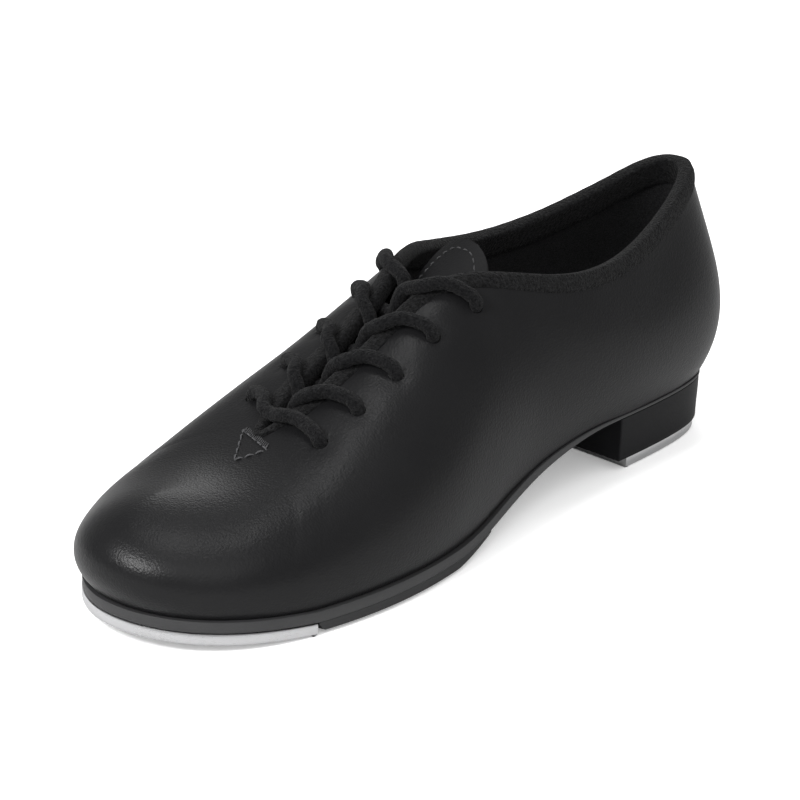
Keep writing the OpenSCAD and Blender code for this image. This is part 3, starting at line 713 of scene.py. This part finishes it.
def binding_profile():
    """Cross-section of the folded tape: (distance from the edge, height) pairs, closed."""
    puff = BINDING_PUFF
    outer = [(BINDING_OUT, 0.0), (BINDING_OUT - 0.1, 0.22), (BINDING_OUT - 0.7, puff * 0.52),
             (BINDING_OUT - 1.7, puff * 0.8), (2.8, puff * 0.95), (1.6, puff * 1.03), (0.8, puff)]
    turn_r = (WALL + 2 * puff) / 2
    middle = -WALL / 2
    over = []
    for k in range(1, 8):
        a = math.pi * k / 8
        over.append((0.1 - BINDING_OVER * math.sin(a), middle + turn_r * math.cos(a)))
    low = -WALL
    inner = [(w, low - puff * 0.8) for w in (1.0, 2.5, 4.5, 6.5)]
    inner += [(BINDING_IN - 0.5, low - 0.6), (BINDING_IN, low - 0.2), (BINDING_IN - 0.2, low + 0.2)]
    core = [(4.0, low + 0.2), (0.4, low + 0.2), (-0.3, middle), (0.4, -0.2), (3.0, -0.2)]
    return outer + over + inner + core


def build_binding():
    profile = binding_profile()
    throat_end = top_edge(SLIT_END)
    rings = []
    for e, n, w in zip(EDGE, EDGE_N, EDGE_W):
        ring = []
        # The turned edges run out narrow where the facings meet
        narrow = 0.3 + 0.7 * float(smooth((np.linalg.norm(e - throat_end) - 2) / 14))
        for d, h in profile:
            if d > 0.9:
                d = 0.9 + (d - 0.9) * narrow
                ring.append(on_skin(e + d * w, h)[0])
            else:
                ring.append(e + d * w + h * n)
        rings.append(ring)
    rings = np.array(rings)
    s = np.arange(len(rings))[:, None]
    lump = 0.05 * np.sin(s * 0.9) + 0.06 * np.sin(s * 0.23 + 1.0)
    proud = np.clip([h / BINDING_PUFF for _, h in profile], 0, 1)
    rings = rings + (lump * proud)[..., None] * EDGE_N[:, None]
    n, m = rings.shape[:2]
    obj = make_object("topline_tape", rings.reshape(-1, 3), grid_faces(n, m, True, True), 70)
    hand_in(obj, BINDING, "topline_binding")


build_binding()


# ---------------------------------------------------------------- stitches
def stitch_mesh(name, path, normals, length, gap, radius, mat, node, body=None):
    """A row of separate thread stitches lying on a surface."""
    path, normals = np.asarray(path), np.asarray(normals)
    s = lengths(path)
    points, faces = [], []
    sides, steps = 6, 7
    start = 0.0
    while start + length < s[-1]:
        q = np.linspace(start, start + length, steps)
        p, n = sample(path, s, q), unit(sample(normals, s, q))
        arch = np.sin(np.linspace(0, math.pi, steps))
        p = p + n * (radius * (1.5 * arch - 0.7))[:, None]
        rings = tube_rings(p, radius * (0.55 + 0.45 * arch), sides)
        base = sum(len(x) for x in points)
        points.append(rings.reshape(-1, 3))
        faces += grid_faces(steps, sides, close_m=True, start=base)
        faces += [tuple(base + k for k in range(sides)),
                  tuple(base + (steps - 1) * sides + k for k in range(sides))]
        start += length + gap
    hand_in(make_object(name, np.concatenate(points), faces), mat, node, body)


def build_throat_stitch():
    """Triangle of stitches in front of the throat, and a dense bar along its rear side."""
    corners = [skin(7.68, 0.885), skin(TURN - 7.57, 0.917), skin(8.06, 0.968)]
    p, n = [], []
    for k in range(3):
        a, b = corners[k], corners[(k + 1) % 3]
        for t in np.linspace(0, 1, 24):
            q, m = on_skin(a + t * (b - a), 0.1)
            p.append(q)
            n.append(m)
    stitch_mesh("throat_triangle", p, n, 2.6, 0.5, 0.3, PALE_THREAD, "throat_stitch")
    a, b, tip = corners
    away = 1.7 * unit((a + b) / 2 - tip)
    zigzag = [on_skin(a + t * (b - a) + (k % 2) * away, 0.3)[0]
              for k, t in enumerate(np.linspace(0.04, 0.96, 33))]
    bar = loft("throat_bar_tack", tube_rings(np.array(zigzag), 0.3, 6), angle=180)
    hand_in(bar, PALE_THREAD, "throat_stitch")


build_throat_stitch()


# ---------------------------------------------------------------- lace
def over_throat(u, x, h):
    """Point over the throat at station u, x from the centre line, h above the edges."""
    mid = (top_edge(u) + top_edge(TURN - u)) / 2
    a, b = top_edge(u - 0.3), top_edge(u + 0.3)
    n = unit(np.array([0, b[2] - a[2], a[1] - b[1]]))
    return mid + np.array([x, 0, 0]) + h * n


def eye_point(j, s, h):
    return on_skin(EYE_CENTRES[(j, s)], h)[0]


def on_side(f, s, v, h):
    return on_skin(skin(side_u(f, s), v), h)[0]


UNDER = -(WALL + LACE_R + 0.2)
OVER = BINDING_PUFF + LACE_R - 0.1       # lace centre over the binding, pressed in a little
LYING = LACE_R - 0.15                    # lace centre on the leather
BAR = 7.3                                # station where the lowest bar crosses the throat
# Way of a strand up through the throat: share of the way, distance from the centre line
# towards the side it comes from, height over the edges; for strands above and below.
RISE_ABOVE = [(-0.28, 1.5, UNDER), (-0.24, 0.2, -4.2), (-0.12, -0.9, -1.6), (0.03, -2.4, 0.9)]
RISE_BELOW = [(0.08, 2, UNDER), (0.18, 0.8, UNDER + 0.8), (0.32, -0.8, -3.2), (0.46, -2.6, 0.2)]


def landing(a, b, side, j, over):
    """Over the binding on the way from station a to b, then down to eyelet j on one side."""
    f = [a + (b - a) * share for share in (over, (over + 1) / 2, 0.94, 1)]
    level = eye_level(j, side)
    return [on_side(f[0], side, 0.975, OVER),
            on_side(f[1], side, (level + 1.06) / 2, LYING + 0.75),
            on_side(f[2], side, level + 0.045, LYING + 0.05),
            on_side(f[3], side, level + 0.01, LYING - 0.6)]


def lace_crossing(j, s):
    """From eyelet j on side s under the facing, up through the throat and over to j - 1."""
    a, b = eye_station(j, s), eye_station(j - 1, -s)
    above = s < 0
    rise = RISE_ABOVE if above else RISE_BELOW
    return [
        eye_point(j, s, -0.4),
        eye_point(j, s, UNDER),
        on_side(a + (b - a) * rise[0][0] * 0.6, s, 0.9, UNDER),
        *[over_throat(a + (b - a) * part, x * s, h) for part, x, h in rise],
        *landing(a, b, -s, j - 1, 0.2 if above else 0.6)]


def lace_half(s):
    """From the middle of the lowest bar to the lace end on one half."""
    p = landing(BAR, eye_station(4, s), s, 4, 0.1)
    side = s
    for j in (4, 3, 2, 1):
        p += lace_crossing(j, side)
        side = -side
    p += [eye_point(0, side, -0.4), eye_point(0, side, UNDER)]
    p += [on_side(f, side, v, -depth)
          for f, v, depth in ((4.45, 0.69, 7), (4.2, 0.55, 8), (3.9, 0.4, 8.5))]
    return p


def braid(angle, length, pitch=7.0):
    """Diamond pattern of a round braid."""
    turns = 2 * math.pi * length / pitch
    one = np.cos(4 * angle + 2 * turns)
    two = np.cos(4 * angle - 2 * turns)
    return 1 + 0.06 * np.maximum(one, two)


def build_lace():
    path = lace_half(1)[::-1] + [over_throat(BAR, 0, OVER - 0.6)] + lace_half(-1)
    curve = spline(path, 0.55)
    squeeze = 1 - 0.05 * np.sin(np.arange(len(curve)) * 0.021) ** 2
    rings = tube_rings(curve, LACE_R * squeeze, 28, braid)
    obj = loft("lace_cord", rings, angle=180)
    hand_in(obj, LACE, "lace")
    for k, (tip, before) in enumerate(((curve[0], curve[3]), (curve[-1], curve[-4]))):
        d = unit(tip - before)
        body = [tip - 1.5 * d, tip - 1.4 * d, tip + 13.2 * d, tip + 13.6 * d, tip + 13.8 * d]
        radii = [0.1, LACE_R * 0.78, LACE_R * 0.7, LACE_R * 0.6, 0.1]
        aglet = loft(f"aglet_{k + 1}", tube_rings(np.array(body), radii, 20), angle=40)
        hand_in(aglet, AGLET, "aglets", "shoe")


build_lace()


# ---------------------------------------------------------------- tongue
TONGUE_DEPTH = WALL + 1.1 + 2 * LACE_R + 0.7     # room for the lace under the facings
TONGUE_X = -0.8          # the free end leans to the outer side
# Free end: distance from the heel back, height above the sole line, half width
TONGUE_TIP = np.array([(120, 56.5, 15.5), (114, 60.3, 14.6), (109, 63.4, 13.4), (106, 65.4, 11.4),
                       (104.2, 66.6, 8.8), (103.3, 67.2, 5.6), (103, 67.4, 2.5)])


def tip_points(x, d, h):
    """Points of the arched free end, x from its middle."""
    return np.column_stack([x + TONGUE_X, y_of(d) + 0 * x, sole_z(d) + h - 0.03 * x * x])


def tongue_rows():
    """Rows from the sewn base to the rounded free end, at the face of the tongue."""
    rows = []
    across = np.linspace(-1, 1, 41)
    gap, reach = 0.1, 0.25       # share of the width over the slit, levels under each facing
    for f in np.linspace(7.4, 4.7, 32):
        # The sewn base lies deeper, clear of the lace when the toe flexes
        depth = TONGUE_DEPTH + 1.6 * smooth((f - 6.0) / 1.0)
        row = []
        for a in across:
            if abs(a) <= gap:
                row.append(over_throat(f, a * 15, -depth))
            else:
                level = 1 - (abs(a) - gap) / (1 - gap) * reach
                row.append(on_side(f, 1 if a > 0 else -1, level, -depth))
        rows.append(row)
    for at in np.linspace(0, len(TONGUE_TIP) - 1, 26):
        d, h, half = (np.interp(at, range(len(TONGUE_TIP)), row) for row in TONGUE_TIP.T)
        rows.append(tip_points(across * half, d, h))
    rows = np.array(rows)
    for _ in range(6):
        rows[1:-1] += 0.5 * ((rows[:-2] + rows[2:]) / 2 - rows[1:-1])
    return rows


def tongue_layer(name, rows, thickness, mat, node):
    """One sheet of the tongue, its upper face on the rows of points."""
    n, m = rows.shape[:2]
    obj = make_object(name, rows.reshape(-1, 3), grid_faces(n, m))
    if sum(f.normal.z for f in obj.data.polygons) < 0:
        obj.data.flip_normals()
    thicken(obj, thickness)
    shade(obj, 50)
    hand_in(obj, mat, node, "tongue")
    return obj


def stitch_path(margin):
    """Line round the free end of the tongue, a margin in from its edge."""
    d, h, half = TONGUE_TIP[::-1].T
    turns = np.linspace(0, math.pi, 40)
    along = np.clip(d[0] + margin + 14 * (1 - np.sin(turns)), None, 119)
    reach = np.interp(along, d, half) - margin
    x = reach * np.sign(np.cos(turns)) * np.abs(np.cos(turns)) ** 0.45
    return tip_points(x, along, np.interp(along, d, h))


def build_tongue():
    rows = tongue_rows()
    normal = unit(np.cross(np.gradient(rows, axis=1), np.gradient(rows, axis=0)))
    if normal[..., 2].mean() < 0:
        normal = -normal
    face = tongue_layer("tongue_leather", rows, LEATHER, TONGUE, "tongue")
    tongue_layer("tongue_cloth", rows - 1.5 * normal, 1.5, LINING, "tongue_lining")
    path, norms = stitch_path(2.8), []
    face_tree = surface_tree(face)
    for k, q in enumerate(path):
        near, n_near, _, _ = face_tree.find_nearest(Vector(q + np.array([0, -0.6, 1.2])) * MM)
        path[k], n_near = np.array(near) / MM, np.array(n_near)
        norms.append(n_near if n_near[2] > 0 else -n_near)
    stitch_mesh("tongue_edge_stitches", path, norms, 1.9, 0.8, 0.22, THREAD,
                "tongue_stitching", "tongue")


build_tongue()


# ---------------------------------------------------------------- bottom
def welt(u):
    """How far the sole stands out beyond the leather."""
    d = rib(u)[..., 1]
    return 0.4 + 1.1 * smooth((d - 60) / 90)


def ring_slab(name, profile, n=360, angle=35):
    """Solid whose outline follows the sole; profile rows are outset, share of the thickness
    down from the sole line, and height added to it, from bottom to top."""
    us = np.arange(n) * TURN / n
    thick = sole_thickness(rib(us)[:, 1])
    rings = [sole_point(us, -(welt(us) + g), h - share * thick) for g, share, h in profile]
    return make_object(name, np.concatenate(rings), slab_faces(len(profile), n), angle)


def build_outsole():
    profile = [(-2.5, 1, 0), (-0.45, 1, 0), (-0.12, 1, 0.15), (0, 1, 0.38),
               (0, 0, -0.36), (-0.1, 0, -0.16), (-0.4, 0, -0.05), (-4.0, 0, -0.02)]
    obj = ring_slab("outsole_sheet", profile)
    hand_in(obj, SOLE, "outsole")


build_outsole()


GROOVE_DEPTH, GROOVE_PITCH = 0.45, 3.0


def build_pad():
    """Rubber forefoot pad: cross ribs underneath, bevelled front edge, thin at the back."""
    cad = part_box("forefoot_pad")
    first, last = HEEL_CENTRE - cad[1].y / MM, HEEL_CENTRE - cad[0].y / MM
    half_u = np.linspace(0, HALF_TURN, 1200)
    half_d = rib(half_u)[:, 1]
    xs = np.linspace(0, 1, 25)
    side = np.minimum(xs, 1 - xs)
    rows = []
    for d in np.arange(first, last, 0.5):
        u = np.interp(d, half_d, half_u)
        under = -sole_thickness(d) - 0.05
        med = sole_point(u, -(welt(u) - 0.3), under)
        lat = sole_point(TURN - u, -(welt(TURN - u) - 0.3), under)
        thick = PAD_T * min(1.0, 0.25 + (d - first) / 25) * min(1.0, (last - d) / 2 + 0.04)
        groove = 0.0
        if first + 12 < d < last - 4:
            groove = GROOVE_DEPTH * max(0.0, math.sin(2 * math.pi * d / GROOVE_PITCH))
        top = med + xs[:, None] * (lat - med)
        low = top.copy()
        low[:, 2] -= thick * (0.82 + 0.18 * np.minimum(1, side * 60)) - groove * (side > 0.07)
        rows.append(np.vstack([top, low[::-1]]))
    obj = loft("forefoot_rubber", rows, angle=40)
    hand_in(obj, PAD, "forefoot_pad")


build_pad()


# ---------------------------------------------------------------- taps and heel
def round_corners(poly, radius, count=5):
    """Round the sharp corners of a closed outline."""
    out = []
    n = len(poly)
    for k in range(n):
        a, b, c = poly[k - 1], poly[k], poly[(k + 1) % n]
        u, v = unit(a - b), unit(c - b)
        if u @ v > -0.9:
            r = min(radius, np.linalg.norm(a - b) * 0.45, np.linalg.norm(c - b) * 0.45)
            p, q = b + u * r, b + v * r
            for t in np.linspace(0, 1, count):
                out.append((1 - t) ** 2 * p + 2 * (1 - t) * t * b + t * t * q)
        else:
            out.append(b)
    return np.array(out)


def shrink(poly, d):
    """Closed outline moved inward by d."""
    t_in = unit(poly - np.roll(poly, 1, 0))
    t_out = unit(np.roll(poly, -1, 0) - poly)
    t = unit(t_in + t_out)
    n = np.stack([-t[:, 1], t[:, 0]], -1)
    x, y = poly.T
    side = 1 if np.sum(x * np.roll(y, -1) - np.roll(x, -1) * y) > 0 else -1
    stretch = 1 / np.sqrt(np.clip((1 + (t_in * t_out).sum(1)) / 2, 0.3, 1))
    return poly + side * n * d * stretch[:, None]


def level_ring(outline, h):
    return np.column_stack([outline, np.full(len(outline), h)])


def plate(name, poly, profile, place=Matrix.Identity(4), angle=30):
    """Flat solid with a shaped rim; profile is (inset, height) from bottom to top."""
    obj = loft(name, [level_ring(shrink(poly, inset), h) for inset, h in profile], angle=angle)
    obj.data.transform(place)
    return obj


def cut_with(obj, cutters):
    """Take the cutters out of the piece and remove them."""
    for c in cutters:
        mod = obj.modifiers.new("cut", "BOOLEAN")
        mod.object = c
        mod.operation = "DIFFERENCE"
        mod.solver = "EXACT"
    apply_modifiers(obj)
    for c in cutters:
        bpy.data.objects.remove(c, do_unlink=True)
    shade(obj, 30)


def spun(name, outline, place, sides=40):
    """Solid of revolution about +Z from (radius, height) pairs."""
    ang = np.arange(sides) * 2 * math.pi / sides
    circle = np.column_stack([np.cos(ang), np.sin(ang)])
    obj = loft(name, [level_ring(r * circle, z) for r, z in outline], angle=30)
    obj.data.transform(place)
    return obj


SCREW_R = 1.6
HEAD_R = 3.2
HEEL_CORNER = 2.2        # rounding of the corners at the breast of the heel
TOE_SCREWS = [(-26, -8), (28, -8), (-12, -30), (15, -32)]      # from the middle of the rear edge
HEEL_SCREWS = [(0, 15), (-17, 34), (17, 34), (0, 50)]          # x, distance from the heel back


def screw_and_sink(name, place):
    """A countersunk cross-head screw, head down at z = 0, and the cone cut for it."""
    head = spun(name, [(0.02, 0.06), (HEAD_R - 0.15, 0.06), (HEAD_R, 0.2), (SCREW_R, 1.8),
                       (SCREW_R, 8), (0.3, 9.2)], place)
    slots = []
    for k in range(2):
        bm = bmesh.new()
        bmesh.ops.create_cube(bm, size=1)
        size = Matrix.Diagonal((3.6 * MM, 0.75 * MM, 1.6 * MM, 1))
        turn = Matrix.Rotation(math.radians(90 * k + 20), 4, "Z")
        bmesh.ops.transform(bm, matrix=place @ turn @ size, verts=bm.verts)
        mesh = bpy.data.meshes.new("slot")
        bm.to_mesh(mesh)
        bm.free()
        slots.append(new_object("slot", mesh))
    cut_with(head, slots)
    sink = spun("sink", [(HEAD_R + 0.25, -1), (HEAD_R + 0.25, 0.06), (SCREW_R + 0.15, 1.95),
                         (SCREW_R + 0.15, 9)], place)
    return head, sink


def metre_frame(x, y, z, tilt=0.0):
    """Placement in metres of something made at the origin."""
    return Matrix.Translation((x * MM, y * MM, z * MM)) @ Matrix.Rotation(tilt, 4, "X")


def clip_line(points, depth):
    """The points where depth is positive, closed off where it crosses zero."""
    first = np.argmax(depth > 0)
    last = len(points) - 1 - np.argmax(depth[::-1] > 0)

    def zero(k, m):
        return points[k] + depth[k] / (depth[k] - depth[m]) * (points[m] - points[k])
    return np.vstack([zero(first - 1, first), points[depth > 0], zero(last, last + 1)])


def build_tap(name, outline, low, high, place, screws, body):
    """Plate with a bevelled lower rim, screwed on through countersunk holes."""
    rim = [(1.5, low), (1.0, low), (0.35, low + 0.35), (0.05, low + 0.9), (0, low + 1.2),
           (0, high - 0.45), (0.12, high - 0.15), (0.4, high), (1.5, high)]
    tap = plate(f"{name}_tap_plate", outline, rim, place)
    sinks = []
    for k, (x, y) in enumerate(screws):
        head, sink = screw_and_sink(f"{name}_screw_{k + 1}", place @ metre_frame(x, y, low))
        hand_in(head, STEEL, f"{name}_tap_screws", body)
        sinks.append(sink)
    cut_with(tap, sinks)
    hand_in(tap, ALUMINIUM, f"{name}_tap", body)


def build_toe_tap():
    tilt = -math.atan(TOE_SLOPE)
    us = np.linspace(7.0, TURN - 7.0, 240)
    p = sole_point(us, -(welt(us) + 0.15), 0)
    ahead = (HEEL_CENTRE - p[:, 1] - TOE_START) / math.cos(tilt)
    outline = clip_line(np.stack([p[:, 0], -ahead], -1), ahead - 0.5)
    build_tap("toe", round_corners(outline, 3.0), -TAP_T, -CLEARANCE,
              metre_frame(0, y_of(TOE_START), TAP_SEAT, tilt), TOE_SCREWS, "toe")


build_toe_tap()


def heel_outline(inset, breast):
    """Plan outline of the heel seat back to the breast line, as a closed polygon."""
    us = np.linspace(-3.2, 3.2, 150)
    p = sole_point(us, inset - welt(us), 0)[:, :2]
    return clip_line(p, p[:, 1] - y_of(breast))


def build_heel():
    breast = HEEL_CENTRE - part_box("heel_block")[0].y / MM
    bottom = round_corners(heel_outline(1.0, breast), HEEL_CORNER)
    top = round_corners(heel_outline(0.25, breast), HEEL_CORNER)
    rings = []
    for inset, h in [(0.5, 0), (0.1, 0.25), (0, 0.6), (0, 2), (0, 5), (0, 9), (0, 12.5)]:
        t = smooth(h / 15.0)
        rings.append(level_ring(shrink(bottom * (1 - t) + top * t, inset), TAP_SEAT + h))
    top_d = HEEL_CENTRE - top[:, 1]
    top_z = sole_z(top_d) - sole_thickness(top_d) - 0.02
    rings.append(np.column_stack([top, top_z - 0.3]))
    rings.append(np.column_stack([shrink(top, 0.25), top_z]))
    block = loft("heel_block_body", rings, angle=35)
    hand_in(block, HEEL, "heel_block", "shoe")
    outline = round_corners(heel_outline(1.9, breast - 5), HEEL_CORNER)
    build_tap("heel", outline, 0, TAP_T, Matrix.Identity(4),
              [(x, y_of(d)) for x, d in HEEL_SCREWS], "shoe")


build_heel()


# ---------------------------------------------------------------- foot bed
BED_Z = LEATHER + CLOTH + 3 * CLEARANCE       # underside of the insole over the sole line
SOCK_Z = BED_Z + 3.5                          # top of the sock


def bed_slab(name, inset, low, high, mat, node, n=320, rounded=0.4):
    """Layer of the foot bed with rounded rims."""
    us = np.arange(n) * TURN / n
    rings = [sole_point(us, inset + extra, h) for extra, h in
             ((rounded, low), (0, low + rounded), (0, high - rounded), (rounded, high))]
    obj = make_object(name, np.concatenate(rings), slab_faces(4, n), 40)
    hand_in(obj, mat, node)


def build_bed():
    bed_slab("insole_fibre_board", 5.2, BED_Z, BED_Z + 2, BOARD, "insole_board")
    bed_slab("sock_cloth", 4.4, BED_Z + 2.1, SOCK_Z, SOCK, "sock_liner")


build_bed()


def build_heel_pad():
    """Thin cushion on the sock under the heel, rounded off at the front."""
    front = HEEL_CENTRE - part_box("heel_pad")[0].y / MM
    outline = round_corners(heel_outline(8.6, front), 12, 9)
    low = SEAT_Z + SOCK_Z + CLEARANCE
    rim = [(0.4, 0), (0, 0.25), (0, 0.8), (0.35, 1.25), (1.0, 1.5), (2.2, 1.6)]
    pad = plate("heel_cushion", outline, [(inset, low + h) for inset, h in rim], angle=60)
    hand_in(pad, CUSHION, "heel_pad", "shoe")


build_heel_pad()


def copy_node(node, mat):
    """A hidden CAD piece, as its own mesh."""
    obj = new_object(node + "_piece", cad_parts[node].data.copy())
    hand_in(obj, mat, node)


copy_node("bottom_filler", CORK)
copy_node("eyelets", EYELET)

for hidden, hidden_mat in (("toe_puff", STIFFENER), ("heel_counter", STIFFENER), ("shank", STEEL),
                           ("heel_nails", STEEL)):
    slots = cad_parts[hidden].data.materials
    slots.clear()
    slots.append(hidden_mat)


# ---------------------------------------------------------------- studio
def build_floor():
    mesh = bpy.data.meshes.new("floor")
    a = 6.0
    mesh.from_pydata([(-a, -a, 0), (a, -a, 0), (a, a, 0), (-a, a, 0)], [], [(0, 1, 2, 3)])
    floor = new_object("floor", mesh)
    mat, tree, bsdf = new_material("floor_paper")
    vec = object_coords(tree)
    path = tree.nodes.new("ShaderNodeLightPath")
    # The paper looks greyer in the shine of the leather than to the camera
    tone = mix_value(tree, remap(tree, noise(tree, vec, 3, 2), 0.86, 0.88),
                     remap(tree, path.outputs["Is Glossy Ray"], 1, 0.62), "MULTIPLY")
    tree.links.new(tone, bsdf.inputs["Base Color"])
    bsdf.inputs["Roughness"].default_value = 0.9
    bsdf.inputs["Specular IOR Level"].default_value = 0.1
    bsdf.inputs["Emission Color"].default_value = (1, 1, 1, 1)
    glow = remap(tree, path.outputs["Is Camera Ray"], 0, 0.27)
    tree.links.new(glow, bsdf.inputs["Emission Strength"])
    mesh.materials.append(mat)


def area_light(name, place, aim, size, power):
    data = bpy.data.lights.new(name, "AREA")
    data.size = size
    data.energy = power
    lamp = new_object(name, data)
    lamp.location = place
    lamp.rotation_euler = (Vector(aim) - Vector(place)).to_track_quat("-Z", "Y").to_euler()


def build_studio():
    build_floor()
    centre = (0, y_of(130) * MM, 0.04)
    toe_cap = (0.014, y_of(248) * MM, 0.03)
    area_light("toe_light", (0.0, -0.82, 0.61), toe_cap, 0.25, 6.5)
    area_light("overhead", (-0.05, -0.12, 1.25), centre, 0.35, 2.4)
    area_light("right_soft", (0.7, -0.6, 1.0), centre, 0.9, 3)
    area_light("back_left", (-1.0, 0.9, 1.0), centre, 0.6, 4)
    world = bpy.data.worlds.new("studio")
    world.use_nodes = True
    tree = world.node_tree
    sky = tree.nodes["Background"]
    sky.inputs["Color"].default_value = (1, 1, 1, 1)
    path = tree.nodes.new("ShaderNodeLightPath")
    # The walls of the room are dark in reflections, white behind the shoe
    tree.links.new(remap(tree, path.outputs["Is Glossy Ray"], 1.12, 0.28), sky.inputs["Strength"])
    bpy.context.scene.world = world
    bpy.context.scene.view_settings.view_transform = "Standard"


def build_camera():
    azimuth, elevation, distance = math.radians(45.3), math.radians(21.4), 904
    aim = Vector((0, y_of(130), 40)) * MM
    back = Vector((math.sin(azimuth) * math.cos(elevation),
                   -math.cos(azimuth) * math.cos(elevation), math.sin(elevation)))
    data = bpy.data.cameras.new("camera")
    data.sensor_width = 36
    data.lens = 133.6
    data.shift_x, data.shift_y = -0.0094, -0.0089
    camera = new_object("camera", data)
    camera.location = aim + back * distance * MM
    camera.rotation_euler = (-back).to_track_quat("-Z", "Y").to_euler()
    bpy.context.scene.camera = camera


build_studio()
build_camera()
